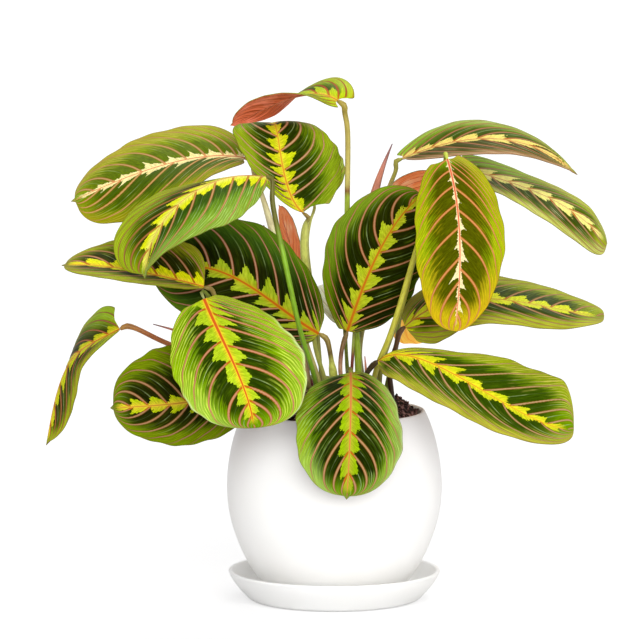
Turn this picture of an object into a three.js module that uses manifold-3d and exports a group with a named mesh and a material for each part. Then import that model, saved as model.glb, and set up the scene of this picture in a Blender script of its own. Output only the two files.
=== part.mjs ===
// Potted prayer plant (maranta): a belly-shaped white pot on its saucer, filled with soil, and
// twenty-three leaf blades, each on its own stalk that stands in a hole in the soil.
// Lengths are millimetres. Z is up, the front is -Y, the right is +X, and the pot's axis is Z.
import * as THREE from "three";
import { mergeVertices } from "three/addons/utils/BufferGeometryUtils.js";
import Module from "manifold-3d";

const wasm = await Module();
wasm.setup();

// Driving sizes of the pot, the saucer and the soil
const ROUND_SEGMENTS = 40;
const GAP = 0.3;
const SAUCER_FLOOR = 5;
const SAUCER_FLAT_RADIUS = 56;
const SAUCER_RIM_RADIUS = 73.7;
const SAUCER_HEIGHT = 20.6;
const POT_FOOT_RADIUS = 43;
const POT_BELLY_RADIUS = 74.8;
const POT_RIM_RADIUS = 62.6;
const POT_RIM_HEIGHT = 132.5;
const POT_WALL = 4;
const POT_FLOOR = 12;
const SOIL_CROWN = 143.5;
const SOIL_DROP = 14.5;
const SOIL_SPREAD = 57;
const SOIL_LUMP = 1.3;
const HOLE_DEPTH = 22;

// Driving sizes shared by the blades and the stalks
const BLADE_THICKNESS = 0.85;
const KEEL_HEIGHT = 0.9;
const BLADE_ROWS = 12;
const BLADE_COLUMNS = [-1, -0.62, -0.09, 0, 0.09, 0.62, 1];
const STALK_SIDES = 6;
const STALK_STEP = 13;
const PULVINUS_SWELL = 0.3;
const PULVINUS_LENGTH = 6;
const BLADE_GAP = 0.9;
const STRAIGHT_RISE = 7;
const HOLE_SLACK = 0.65;

const rad = (degrees) => degrees * Math.PI / 180;
const mix = (a, b, s) => a + (b - a) * s;
const vec = (p) => new THREE.Vector3(p[0], p[1], p[2]);

// Height of the smooth soil mound at a place
function soilHeight(x, y) {
  return SOIL_CROWN - SOIL_DROP * (x * x + y * y) / (SOIL_SPREAD * SOIL_SPREAD);
}

// A closed solid from points and triangles, turned to face out
function solid(points, triangles) {
  let volume = 0;
  for (const [a, b, c] of triangles) {
    volume += points[a].dot(new THREE.Vector3().crossVectors(points[b], points[c])) / 6;
  }
  const index = [];
  for (const [a, b, c] of triangles) {
    if (volume > 0) index.push(a, b, c);
    else index.push(a, c, b);
  }
  const geometry = new THREE.BufferGeometry();
  const flat = points.flatMap((p) => [p.x, p.y, p.z]);
  geometry.setAttribute("position", new THREE.Float32BufferAttribute(flat, 3));
  geometry.setIndex(index);
  return geometry;
}

// Geometry to a manifold and back, for the holes in the soil
function toManifold(geometry) {
  const bare = geometry.clone();
  bare.deleteAttribute("normal");
  bare.deleteAttribute("uv");
  const merged = mergeVertices(bare, 1e-4);
  return new wasm.Manifold(new wasm.Mesh({
    numProp: 3,
    vertProperties: Float32Array.from(merged.attributes.position.array),
    triVerts: Uint32Array.from(merged.index.array),
  }));
}

function fromManifold(body) {
  const mesh = body.getMesh();
  const geometry = new THREE.BufferGeometry();
  const flat = Float32Array.from(mesh.vertProperties);
  geometry.setAttribute("position", new THREE.BufferAttribute(flat, 3));
  geometry.setIndex(Array.from(mesh.triVerts));
  return geometry;
}

// A turned body round Z. The profile holds [radius, height] pairs.
function turned(profile) {
  const geometry = new THREE.LatheGeometry(profile.map(([r, z]) => new THREE.Vector2(r, z)), ROUND_SEGMENTS);
  geometry.rotateX(Math.PI / 2);
  return geometry;
}

// Midrib of a blade: one cubic through its four points, at the thirds of the parameter
function midrib(points) {
  const [p0, p1, p2, p3] = points.map(vec);
  const c1 = new THREE.Vector3();
  c1.addScaledVector(p0, -5 / 6).addScaledVector(p1, 3).addScaledVector(p2, -1.5).addScaledVector(p3, 1 / 3);
  const c2 = new THREE.Vector3();
  c2.addScaledVector(p0, 1 / 3).addScaledVector(p1, -1.5).addScaledVector(p2, 3).addScaledVector(p3, -5 / 6);
  return new THREE.CubicBezierCurve3(p0, c1, c2, p3);
}

// Half-width along the blade as a share of the widest: rounded base, short pointed tip.
// skew above 1 moves the widest place toward the tip, and a low blunt gives fuller ends.
function profile(s, skew, blunt) {
  const body = Math.pow(Math.max(Math.sin(Math.PI * Math.pow(Math.min(s / 0.975, 1), skew)), 0), blunt);
  if (s <= 0.9) return body;
  return Math.max(body, Math.min(2.2 * (1 - s), 0.07));
}

// The blade's middle surface at share s of its length and u across, -1 left margin to 1 right
function bladePoint(leaf, curve, length, s, u) {
  const p = curve.getPointAt(s);
  const along = curve.getTangentAt(s);
  const up = vec(leaf.face).normalize().multiplyScalar(1 - s);
  up.addScaledVector(vec(leaf.faceTip ?? leaf.face).normalize(), s);
  up.addScaledVector(along, -up.dot(along)).normalize();
  const across = new THREE.Vector3().crossVectors(along, up);
  const side = u < 0 ? leaf.left : leaf.right;
  const a = Math.abs(u);
  const share = profile(s, side.skew, side.blunt);
  const half = side.width * share;
  const fold = rad(mix(side.fold[0], side.fold[1], s));
  const curl = rad(mix(side.curl[0], side.curl[1], s));
  const out = half * (Math.sin(fold + curl * a) - Math.sin(fold)) / curl;
  const rise = -half * (Math.cos(fold + curl * a) - Math.cos(fold)) / curl;
  const beat = 2 * Math.PI * ((leaf.waves ?? 3) * s + (u < 0 ? 0.3 : 0)) + (leaf.phase ?? 0);
  const wave = (side.wave ?? 0) * a * a * share * Math.sin(beat);
  const lobe = -(side.lobe ?? leaf.lobe ?? 0.02) * length * a * a * Math.pow(1 - s, 6);
  p.addScaledVector(across, Math.sign(u) * out);
  p.addScaledVector(up, rise + wave);
  p.addScaledVector(along, lobe);
  return p;
}

// A blade as one closed thin solid, with the midrib as a keel on its underside
function blade(leaf) {
  const curve = midrib(leaf.rib);
  const length = curve.getLength();
  const shares = [];
  for (let i = 0; i <= BLADE_ROWS; i += 1) shares.push((1 - Math.cos(Math.PI * i / BLADE_ROWS)) / 2);
  const columns = BLADE_COLUMNS.length;
  const points = [];
  const rows = shares.map((s, i) => {
    const end = i === 0 || i === BLADE_ROWS;
    const near = end ? Math.min(Math.max(s, 0.02), 0.98) : s;
    const us = end ? [0] : BLADE_COLUMNS;
    return us.map((u) => {
      const ds = new THREE.Vector3().subVectors(
        bladePoint(leaf, curve, length, Math.min(near + 0.01, 1), u),
        bladePoint(leaf, curve, length, Math.max(near - 0.01, 0), u),
      );
      const du = new THREE.Vector3().subVectors(
        bladePoint(leaf, curve, length, near, Math.min(u + 0.04, 1)),
        bladePoint(leaf, curve, length, near, Math.max(u - 0.04, -1)),
      );
      const normal = ds.cross(du).normalize();
      const middle = bladePoint(leaf, curve, length, s, u);
      const keel = u === 0 ? KEEL_HEIGHT * (1 - s) : 0;
      const top = middle.clone().addScaledVector(normal, BLADE_THICKNESS / 2);
      const under = middle.clone().addScaledVector(normal, -BLADE_THICKNESS / 2 - keel);
      points.push(top, under);
      return [points.length - 2, points.length - 1];
    });
  });
  const triangles = [];
  const last = columns - 1;
  for (let i = 0; i < BLADE_ROWS; i += 1) {
    const low = rows[i].length === 1 ? BLADE_COLUMNS.map(() => rows[i][0]) : rows[i];
    const high = rows[i + 1].length === 1 ? BLADE_COLUMNS.map(() => rows[i + 1][0]) : rows[i + 1];
    for (let j = 0; j < last; j += 1) {
      for (const k of [0, 1]) {
        const quad = [
          [low[j][k], low[j + 1][k], high[j + 1][k]],
          [low[j][k], high[j + 1][k], high[j][k]],
        ];
        for (const [a, b, c] of quad) {
          if (k === 0) triangles.push([a, b, c]);
          else triangles.push([a, c, b]);
        }
      }
    }
    triangles.push([low[0][0], high[0][0], high[0][1]], [low[0][0], high[0][1], low[0][1]]);
    triangles.push([low[last][0], high[last][1], high[last][0]], [low[last][0], low[last][1], high[last][1]]);
  }
  return solid(points, triangles.filter(([a, b, c]) => a !== b && b !== c && a !== c));
}

// A round tube through a run of centres with a radius at each, closed flat at both ends
function tube(centres, radii) {
  const last = centres.length - 1;
  const points = [];
  const normal = new THREE.Vector3(0, -1, 0.01);
  for (let i = 0; i <= last; i += 1) {
    const along = new THREE.Vector3();
    along.subVectors(centres[Math.min(i + 1, last)], centres[Math.max(i - 1, 0)]).normalize();
    normal.addScaledVector(along, -normal.dot(along)).normalize();
    const across = new THREE.Vector3().crossVectors(along, normal);
    for (let j = 0; j < STALK_SIDES; j += 1) {
      const turn = 2 * Math.PI * j / STALK_SIDES;
      const p = centres[i].clone();
      p.addScaledVector(normal, radii[i] * Math.cos(turn));
      p.addScaledVector(across, radii[i] * Math.sin(turn));
      points.push(p);
    }
  }
  const triangles = [];
  for (let i = 0; i < last; i += 1) {
    for (let j = 0; j < STALK_SIDES; j += 1) {
      const a = i * STALK_SIDES + j;
      const b = i * STALK_SIDES + (j + 1) % STALK_SIDES;
      triangles.push([a, b, b + STALK_SIDES], [a, b + STALK_SIDES, a + STALK_SIDES]);
    }
  }
  const end = last * STALK_SIDES;
  for (let j = 1; j < STALK_SIDES - 1; j += 1) {
    triangles.push([0, j + 1, j], [end, end + j, end + j + 1]);
  }
  return solid(points, triangles);
}

// Centres of a stalk from its upper end down, then straight into its hole in the soil
function stalkRun(points, foot) {
  const ground = soilHeight(foot[0], foot[1]);
  const bend = points.map(vec);
  bend.push(new THREE.Vector3(foot[0], foot[1], ground + STRAIGHT_RISE));
  const upper = new THREE.CatmullRomCurve3(bend, false, "centripetal");
  const centres = upper.getSpacedPoints(Math.max(3, Math.round(upper.getLength() / STALK_STEP)));
  centres.push(new THREE.Vector3(foot[0], foot[1], ground - HOLE_DEPTH));
  return centres;
}

// Share of the run's length at each centre
function shares(centres) {
  const at = [0];
  for (let i = 1; i < centres.length; i += 1) at.push(at[i - 1] + centres[i].distanceTo(centres[i - 1]));
  const total = at[at.length - 1];
  return at.map((d) => d / total);
}

// A leaf's stalk starts just behind the blade's base, swells there a little, and is
// thicker again where its lower stretch is a sheath
function stalk(leaf) {
  const item = leaf.stalk;
  const curve = midrib(leaf.rib);
  const back = curve.getTangentAt(0);
  const base = curve.getPointAt(0);
  const top = base.clone().addScaledVector(back, -BLADE_GAP);
  const neck = base.clone().addScaledVector(back, -PULVINUS_LENGTH);
  const centres = stalkRun([top.toArray(), neck.toArray(), ...item.points], item.foot);
  const radii = shares(centres).map((s, i) => {
    if (i === 0) return item.petiole * 0.6;
    if (i === 1) return item.petiole + PULVINUS_SWELL;
    return s < item.sheathFrom ? item.petiole : item.sheath;
  });
  return tube(centres, radii);
}

// A rolled young leaf: a spike that swells from its tip to its widest place, then slims
function shoot(item) {
  const centres = stalkRun(item.points, item.foot);
  const radii = shares(centres).map((s) => {
    if (s < item.widestAt) return mix(0.5, item.widest, s / item.widestAt);
    return mix(item.widest, item.root, Math.min((s - item.widestAt) / 0.25, 1));
  });
  return tube(centres, radii);
}

// The leaves. rib: the midrib from base to tip. face: which way the upper side looks at the
// base, and faceTip at the tip. left and right are the sides seen looking from base to tip
// with the upper side up. fold and curl are degrees at the base and at the tip.
const LEAVES = [
  {
    name: "upper_left",
    rib: [[-63, 15, 307], [-101, 5, 307], [-142, -7, 296], [-182, -9, 279]],
    face: [-0.3, -0.6, 0.75],
    left: { width: 37.5, skew: 1.45, blunt: 0.35, fold: [23, -11], curl: [-10, -20], lobe: 0.02 },
    right: { width: 38, skew: 0.85, blunt: 0.35, fold: [8, -1], curl: [-5, -20], lobe: -0.02 },
    stalk: {
      points: [[-56, 10, 297], [-50, 9, 281], [-41, 10, 250], [-31, 11, 215], [-19, 6, 177]],
      foot: [-10, 2],
      petiole: 2,
      sheath: 3,
      sheathFrom: 0.2,
    },
  },
  {
    name: "arching_left",
    rib: [[-47, -38, 299], [-86, -63, 296], [-117, -73, 271], [-129, -77, 233]],
    face: [0.05, -0.3, 0.95],
    faceTip: [-0.55, -0.75, 0.45],
    left: { width: 40, skew: 0.95, blunt: 0.85, fold: [-29, 32], curl: [-13, -10], lobe: 0.02 },
    right: { width: 36.5, skew: 2.4, blunt: 0.35, fold: [-33, 12], curl: [-21, -17], lobe: 0.01 },
    stalk: {
      points: [
        [-43, -38, 284], [-39, -40, 263], [-34, -43, 241],
        [-29, -42, 217], [-23, -36, 190], [-16, -28, 167],
      ],
      foot: [-12, -19],
      petiole: 2.1,
      sheath: 2.2,
      sheathFrom: 0.5,
    },
  },
  {
    name: "low_left_flat",
    rib: [[-90, -38, 223], [-119, -45, 231], [-154, -50, 238], [-187, -48, 239]],
    face: [-0.25, -0.35, 0.9],
    left: { width: 30, skew: 1.15, blunt: 0.45, fold: [16, 22], curl: [-12, -21], lobe: -0.02 },
    right: { width: 36, skew: 0.6, blunt: 0.4, fold: [41, 4], curl: [-8, -15], lobe: 0 },
    stalk: {
      points: [[-81, -47, 215], [-61, -54, 199], [-41, -48, 181], [-22, -38, 160]],
      foot: [-14, -32],
      petiole: 2,
      sheath: 2.6,
      sheathFrom: 0.6,
    },
  },
  {
    name: "dark_middle",
    rib: [[-11, -8, 187], [-47, -16, 213], [-83, -21, 233], [-130, -15, 231]],
    face: [0, -0.95, 0.35],
    left: { width: 42, skew: 1.3, blunt: 0.45, fold: [8, 10], curl: [-20, -13], lobe: 0.01 },
    right: { width: 44, skew: 1.05, blunt: 0.4, fold: [-5, -1], curl: [-15, -18], lobe: 0.01 },
    stalk: {
      points: [[-4, -8, 179], [-1, -7, 160]],
      foot: [0, -6],
      petiole: 2,
      sheath: 3.2,
      sheathFrom: 0.4,
    },
  },
  {
    name: "edge_left",
    rib: [[-148, -25, 192], [-173, -27, 179], [-188, -27, 159], [-199, -30, 112]],
    face: [-0.6, 0.05, 0.8],
    faceTip: [-0.8, -0.1, 0.6],
    left: { width: 24, skew: 1.1, blunt: 0.6, fold: [-5, -39], curl: [-11, -10], lobe: 0 },
    right: { width: 38, skew: 0.5, blunt: 0.6, fold: [51, -60], curl: [-17, -14], lobe: 0.07 },
    stalk: {
      points: [[-117, -20, 182], [-79, -16, 168], [-45, -16, 154]],
      foot: [-27, -14],
      petiole: 2.1,
      sheath: 2.8,
      sheathFrom: 0.6,
    },
  },
  {
    name: "front_left",
    rib: [[-89, -66, 218], [-76, -84, 192], [-62, -98, 162], [-55, -95, 133]],
    face: [0, -0.95, 0.3],
    left: { width: 46.5, skew: 1.5, blunt: 0.35, fold: [7, 7], curl: [-22, -22], lobe: 0.02 },
    right: { width: 41, skew: 1, blunt: 0.35, fold: [-7, 10], curl: [-7, -21], lobe: 0.02 },
    stalk: {
      points: [[-89, -60, 223], [-80, -54, 207], [-65, -56, 182], [-37, -48, 157]],
      foot: [-22, -40],
      petiole: 2.1,
      sheath: 2.6,
      sheathFrom: 0.6,
    },
  },
  {
    name: "lower_left",
    rib: [[-62, -45, 156], [-90, -52, 147], [-124, -54, 143], [-154, -52, 141]],
    face: [-0.2, -0.95, 0.25],
    left: { width: 29.5, skew: 0.85, blunt: 0.45, fold: [8, -1], curl: [-22, -13], lobe: -0.01 },
    right: { width: 40.5, skew: 0.95, blunt: 0.35, fold: [5, 16], curl: [-10, -15], lobe: 0.02 },
    stalk: {
      points: [[-48, -43, 155], [-35, -38, 150]],
      foot: [-31, -32],
      petiole: 2,
      sheath: 2.6,
      sheathFrom: 0.5,
    },
  },
  {
    name: "upper_middle",
    rib: [[-22, -6, 271], [-34, 0, 294], [-39, 7, 321], [-44, 29, 330]],
    face: [0.15, -0.9, 0.45],
    left: { width: 30.5, skew: 2.6, blunt: 0.4, fold: [5, 12], curl: [-17, -13], lobe: 0 },
    right: { width: 43.5, skew: 0.75, blunt: 0.4, fold: [-8, 7], curl: [-9, -21], lobe: 0.1 },
    stalk: {
      points: [[-20, -2, 263], [-21, 6, 244], [-19, 15, 220], [-16, 20, 197], [-13, 18, 172]],
      foot: [-6, 13],
      petiole: 1.9,
      sheath: 3.1,
      sheathFrom: 0.08,
    },
  },
  {
    name: "top_twisted",
    rib: [[2, 0, 348], [-20, 4, 352], [-45, 3, 344], [-72, 0, 331]],
    face: [-0.35, -0.55, 0.8],
    faceTip: [-0.35, 0.6, 0.7],
    left: { width: 25.5, skew: 0.95, blunt: 0.5, fold: [31, 7], curl: [-11, -10], lobe: 0.08 },
    right: { width: 33.5, skew: 0.55, blunt: 1.15, fold: [-3, -7], curl: [-11, -19], lobe: 0.13 },
    stalk: {
      points: [[7, 1, 340], [9, 2, 330], [9, 5, 288], [9, 8, 257], [12, 11, 215], [16, 12, 176]],
      foot: [17, 9],
      petiole: 2,
      sheath: 2.5,
      sheathFrom: 0.36,
    },
  },
  {
    name: "centre",
    rib: [[9, -10, 189], [22, -18, 226], [39, -19, 260], [62, -8, 285]],
    face: [0.1, -1, 0.1],
    left: { width: 36, skew: 1.05, blunt: 0.55, fold: [-10, 4], curl: [-31, -9], lobe: 0.03 },
    right: { width: 34, skew: 0.8, blunt: 0.5, fold: [-2, 14], curl: [-13, -18], lobe: -0.02 },
    stalk: {
      points: [[5, -11, 176], [4, -12, 161]],
      foot: [6, -13],
      petiole: 2.2,
      sheath: 2.4,
      sheathFrom: 0.5,
    },
  },
  {
    name: "front_hanging",
    rib: [[11, -48, 165], [11, -85, 150], [10, -99, 118], [8, -94, 84]],
    face: [0, -0.95, 0.25],
    left: { width: 36, skew: 1.45, blunt: 0.45, fold: [7, 5], curl: [-17, -24], lobe: 0.06 },
    right: { width: 37.5, skew: 1.15, blunt: 0.35, fold: [-7, 8], curl: [-15, -18], lobe: 0.06 },
    stalk: {
      points: [[10, -38, 166], [9, -28, 157]],
      foot: [8, -26],
      petiole: 2.1,
      sheath: 2.5,
      sheathFrom: 0.5,
    },
  },
  {
    name: "right_hanging",
    rib: [[77, -48, 312], [84, -71, 276], [85, -75, 236], [82, -71, 196]],
    face: [0, -1, 0.2],
    left: { width: 31.5, skew: 0.95, blunt: 0.5, fold: [0, -3], curl: [-19, -23], lobe: 0.04 },
    right: { width: 31, skew: 0.95, blunt: 0.35, fold: [1, -1], curl: [-26, -20], lobe: 0.03 },
    stalk: {
      points: [
        [76, -38, 309], [68, -34, 286], [54, -33, 241],
        [45, -33, 210], [37, -30, 185], [29, -24, 165],
      ],
      foot: [26, -21],
      petiole: 2.2,
      sheath: 2.4,
      sheathFrom: 0.5,
    },
  },
  {
    name: "upper_right",
    rib: [[47, -1, 308], [90, -15, 322], [130, -19, 320], [167, -25, 299]],
    face: [0.2, -0.55, 0.8],
    left: { width: 23.5, skew: 0.65, blunt: 0.85, fold: [9, -9], curl: [-10, -11], lobe: 0.03 },
    right: { width: 24, skew: 0.7, blunt: 0.85, fold: [25, 12], curl: [-10, -20], lobe: -0.02 },
    stalk: {
      points: [[43, 2, 301], [37, 7, 285], [30, 16, 243], [23, 21, 200], [18, 21, 172]],
      foot: [20, 18],
      petiole: 2,
      sheath: 2.8,
      sheathFrom: 0.12,
    },
  },
  {
    name: "second_right",
    rib: [[86, -3, 303], [122, -21, 293], [156, -45, 280], [187, -41, 253]],
    face: [0.5, -0.65, 0.55],
    left: { width: 21.5, skew: 0.7, blunt: 0.35, fold: [6, -8], curl: [-18, -11], lobe: 0.03 },
    right: { width: 24.5, skew: 1.05, blunt: 0.35, fold: [17, 1], curl: [-7, -8], lobe: -0.01 },
    stalk: {
      points: [
        [77, -8, 297], [69, -18, 278], [55, -24, 241],
        [47, -24, 209], [38, -21, 184], [32, -15, 164],
      ],
      foot: [31, -12],
      petiole: 1.9,
      sheath: 2.3,
      sheathFrom: 0.5,
    },
  },
  {
    name: "middle_right",
    rib: [[49, -16, 193], [91, -26, 213], [139, -33, 210], [186, -36, 202]],
    face: [0.05, -0.45, 0.9],
    left: { width: 32, skew: 0.7, blunt: 0.35, fold: [4, -2], curl: [-6, -10], lobe: 0.03 },
    right: { width: 28.5, skew: 0.65, blunt: 0.45, fold: [-26, 17], curl: [-6, -13], wave: 3, lobe: 0.01 },
    waves: 1.5,
    phase: -2.67,
    stalk: {
      points: [[43, -14, 180], [38, -11, 163]],
      foot: [40, -8],
      petiole: 2,
      sheath: 2.4,
      sheathFrom: 0.5,
    },
  },
  {
    name: "lower_right",
    rib: [[30, -40, 172], [69, -62, 172], [119, -70, 145], [164, -73, 129]],
    face: [0.1, -0.8, 0.6],
    left: { width: 37, skew: 2.6, blunt: 0.6, fold: [4, 9], curl: [-12, -14], wave: 2.5, lobe: 0.02 },
    right: { width: 27, skew: 0.8, blunt: 0.5, fold: [4, 13], curl: [-4, -10], lobe: -0.01 },
    waves: 2.5,
    phase: -1.9,
    stalk: {
      points: [[25, -36, 167], [20, -32, 158]],
      foot: [18, -32],
      petiole: 2,
      sheath: 2.3,
      sheathFrom: 0.5,
    },
  },
  {
    name: "back_upright",
    rib: [[-24, 30, 212], [-28, 40, 232], [-33, 50, 251], [-39, 58, 270]],
    face: [0.93, 0.3, 0.2],
    left: { width: 24, skew: 0.92, blunt: 0.5, fold: [8, 8], curl: [-12, -12] },
    right: { width: 24, skew: 0.92, blunt: 0.5, fold: [8, 8], curl: [-12, -12] },
    stalk: {
      points: [[-21, 28, 193], [-18, 24, 168]],
      foot: [-19, 23],
      petiole: 2,
      sheath: 2.5,
      sheathFrom: 0.4,
    },
  },
  {
    name: "back_right",
    rib: [[37, 22, 284], [52, 42, 282], [67, 62, 271], [85, 80, 253]],
    face: [-0.2, 0.75, 0.62],
    left: { width: 26, skew: 0.92, blunt: 0.5, fold: [5, 5], curl: [-15, -15] },
    right: { width: 27, skew: 0.92, blunt: 0.5, fold: [5, 5], curl: [-15, -15] },
    stalk: {
      points: [[31, 28, 259], [23, 32, 216], [17, 31, 178]],
      foot: [21, 28],
      petiole: 2,
      sheath: 2.4,
      sheathFrom: 0.4,
    },
  },
  {
    name: "back_low_right",
    rib: [[48, 4, 196], [63, 24, 191], [83, 48, 191], [103, 70, 195]],
    face: [-0.1, 0.75, 0.66],
    left: { width: 27, skew: 0.92, blunt: 0.5, fold: [5, 5], curl: [-12, -12] },
    right: { width: 26, skew: 0.92, blunt: 0.5, fold: [5, 5], curl: [-12, -12] },
    lobe: 0,
    stalk: {
      points: [[44, 0, 184], [41, 4, 167]],
      foot: [36, 5],
      petiole: 2,
      sheath: 2.4,
      sheathFrom: 0.4,
    },
  },
  {
    name: "back_left",
    rib: [[-24, 44, 190], [-54, 64, 210], [-84, 84, 216], [-110, 102, 204]],
    face: [-0.1, 0.3, 0.95],
    left: { width: 28, skew: 0.92, blunt: 0.5, fold: [8, 8], curl: [-20, -20] },
    right: { width: 28, skew: 0.92, blunt: 0.5, fold: [8, 8], curl: [-20, -20] },
    stalk: {
      points: [[-22, 41, 178], [-24, 33, 162]],
      foot: [-28, 20],
      petiole: 2,
      sheath: 2.5,
      sheathFrom: 0.4,
    },
  },
  {
    name: "back_centre",
    rib: [[8, 44, 188], [12, 72, 208], [18, 102, 208], [24, 126, 186]],
    face: [0, 0.2, 1],
    left: { width: 26, skew: 0.92, blunt: 0.5, fold: [8, 8], curl: [-20, -20] },
    right: { width: 27, skew: 0.92, blunt: 0.5, fold: [8, 8], curl: [-20, -20] },
    stalk: {
      points: [[8, 41, 176], [9, 34, 158]],
      foot: [10, 24],
      petiole: 2,
      sheath: 2.5,
      sheathFrom: 0.4,
    },
  },
  {
    name: "back_hanging",
    rib: [[0, 44, 146], [-2, 74, 144], [-6, 98, 124], [-8, 104, 88]],
    face: [0, 0.5, 0.9],
    faceTip: [0, 0.95, 0.3],
    left: { width: 28, skew: 0.92, blunt: 0.5, fold: [8, 8], curl: [-20, -20] },
    right: { width: 28, skew: 0.92, blunt: 0.5, fold: [8, 8], curl: [-20, -20] },
    stalk: {
      points: [[-1, 41, 148.5]],
      foot: [-2, 35],
      petiole: 2,
      sheath: 2.3,
      sheathFrom: 0.3,
    },
  },
  {
    name: "back_top",
    rib: [[-14, 26, 275], [-18, 54, 298], [-26, 80, 306], [-36, 100, 296]],
    face: [-0.1, -0.1, 1],
    faceTip: [-0.1, 0.4, 0.9],
    left: { width: 26, skew: 0.92, blunt: 0.5, fold: [8, 8], curl: [-20, -20] },
    right: { width: 26, skew: 0.92, blunt: 0.5, fold: [8, 8], curl: [-20, -20] },
    stalk: {
      points: [[-17, 21, 262], [-19, 20, 248], [-17, 24, 226], [-14, 27, 205], [-11, 27, 175]],
      foot: [-9, 23],
      petiole: 2,
      sheath: 2.5,
      sheathFrom: 0.4,
    },
  },
];

// Young leaves that are still rolled up
const SHOOTS = [
  {
    name: "shoot_tall",
    points: [[40, 3, 318], [34, 5, 303], [28, 8, 284], [19, 11, 236], [14, 5, 191], [12, 1, 160]],
    foot: [11, -1],
    widest: 2.9,
    widestAt: 0.22,
    root: 2.3,
  },
  {
    name: "shoot_left",
    points: [[-125, -28, 196], [-110, -22, 191], [-79, -12, 178], [-45, -8, 162]],
    foot: [-27, -3],
    widest: 2,
    widestAt: 0.35,
    root: 2,
  },
  {
    name: "shoot_short",
    points: [[21, -14, 172], [22, -12, 159]],
    foot: [22, -6],
    widest: 1.5,
    widestAt: 0.4,
    root: 1.8,
  },
  {
    name: "shoot_hidden",
    points: [[-49, 6, 261], [-43, 14, 243], [-34, 19, 214], [-24, 15, 183]],
    foot: [-18, 9],
    widest: 2.2,
    widestAt: 0.3,
    root: 2.2,
  },
];

// Saucer: a turned dish with a flat underside and a convex flaring wall
const saucer = turned([
  [0, 0],
  [SAUCER_FLAT_RADIUS, 0],
  [59.5, 1.2],
  [62.4, 3.8],
  [67.4, 9.2],
  [71.6, 15],
  [SAUCER_RIM_RADIUS, 19.3],
  [73, SAUCER_HEIGHT],
  [70.8, SAUCER_HEIGHT],
  [68.4, 15.8],
  [64, 10],
  [58.5, 6.2],
  [55, SAUCER_FLOOR],
  [0, SAUCER_FLOOR],
]);

// Pot: a turned shell with a foot ring, a belly and a thin rounded rim
const potOuter = [
  [POT_FOOT_RADIUS, SAUCER_FLOOR + GAP],
  [46.5, 8],
  [54, 16.5],
  [61, 27.5],
  [67.8, 42.5],
  [72.9, 59.5],
  [POT_BELLY_RADIUS, 76.5],
  [74.2, 91],
  [71.6, 107.5],
  [67.9, 120.5],
  [POT_RIM_RADIUS + 0.9, 131],
  [POT_RIM_RADIUS, POT_RIM_HEIGHT],
];
const potInner = [
  [POT_RIM_RADIUS - 2, POT_RIM_HEIGHT],
  [POT_RIM_RADIUS - 2.9, 131],
  [67.9 - POT_WALL, 120],
  [71.6 - POT_WALL, 107],
  [74.2 - POT_WALL, 91],
  [POT_BELLY_RADIUS - POT_WALL, 76.5],
  [72.9 - POT_WALL, 60],
  [67.8 - POT_WALL, 44],
  [57, 29.5],
  [48.5, 18],
  [41, POT_FLOOR],
];
const pot = turned([
  [0, SAUCER_FLOOR + 2.5],
  [37.5, SAUCER_FLOOR + 2.5],
  [39, SAUCER_FLOOR + GAP],
  ...potOuter,
  ...potInner,
  [0, POT_FLOOR],
]);

// Soil: fills the pot up to a lumpy mound, with a plain hole for each stalk
const SOIL_RINGS = [0, 9, 18, 27, 36, 45, 53, 59];
const soilTop = SOIL_RINGS.map((r) => [r, soilHeight(r, 0)]).reverse();
const soilSide = potInner.slice(2).map(([r, z]) => [r - GAP, z + (z === POT_FLOOR ? GAP : 0)]);
const soilBare = turned([[0, POT_FLOOR + GAP], ...soilSide.reverse(), ...soilTop]);
const soilPlace = soilBare.attributes.position;
for (let i = 0; i < soilPlace.count; i += 1) {
  const x = soilPlace.getX(i);
  const y = soilPlace.getY(i);
  const r = Math.hypot(x, y);
  if (soilPlace.getZ(i) < 124 || r > 56) continue;
  const lump = Math.sin(x * 0.31 + 1.3) * Math.sin(y * 0.37 + 0.4) + 0.6 * Math.sin(x * 0.71 - y * 0.53);
  soilPlace.setZ(i, soilPlace.getZ(i) + SOIL_LUMP * lump * (1 - r / 60));
}
let soilBody = toManifold(soilBare);
const feet = LEAVES.map((leaf) => [leaf.stalk.foot, leaf.stalk.sheath]);
for (const item of SHOOTS) feet.push([item.foot, item.root]);
for (const [foot, radius] of feet) {
  const bottom = soilHeight(foot[0], foot[1]) - HOLE_DEPTH - GAP;
  const hole = new THREE.CylinderGeometry(radius + HOLE_SLACK, radius + HOLE_SLACK, 60, 8);
  hole.rotateX(Math.PI / 2);
  hole.translate(foot[0], foot[1], bottom + 30);
  soilBody = soilBody.subtract(toManifold(hole));
}

const part = new THREE.Group();
part.name = "potted_prayer_plant";

function add(name, geometry, colour, roughness) {
  const material = new THREE.MeshStandardMaterial({ color: colour, roughness, metalness: 0 });
  material.name = name;
  const mesh = new THREE.Mesh(geometry, material);
  mesh.name = name;
  part.add(mesh);
}

add("saucer", saucer, 0xf4f3ee, 0.45);
add("pot", pot, 0xf6f5f1, 0.5);
add("soil", fromManifold(soilBody), 0x2b1a14, 0.95);
for (const leaf of LEAVES) {
  add("leaf_" + leaf.name, blade(leaf), 0x5a8a1c, 0.5);
  add("stalk_" + leaf.name, stalk(leaf), 0x7d8a3a, 0.55);
}
for (const item of SHOOTS) add(item.name, shoot(item), 0xb06a52, 0.5);

export default part;
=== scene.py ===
import math
import random

import bpy
import numpy as np
from mathutils import Euler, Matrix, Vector, noise


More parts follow.
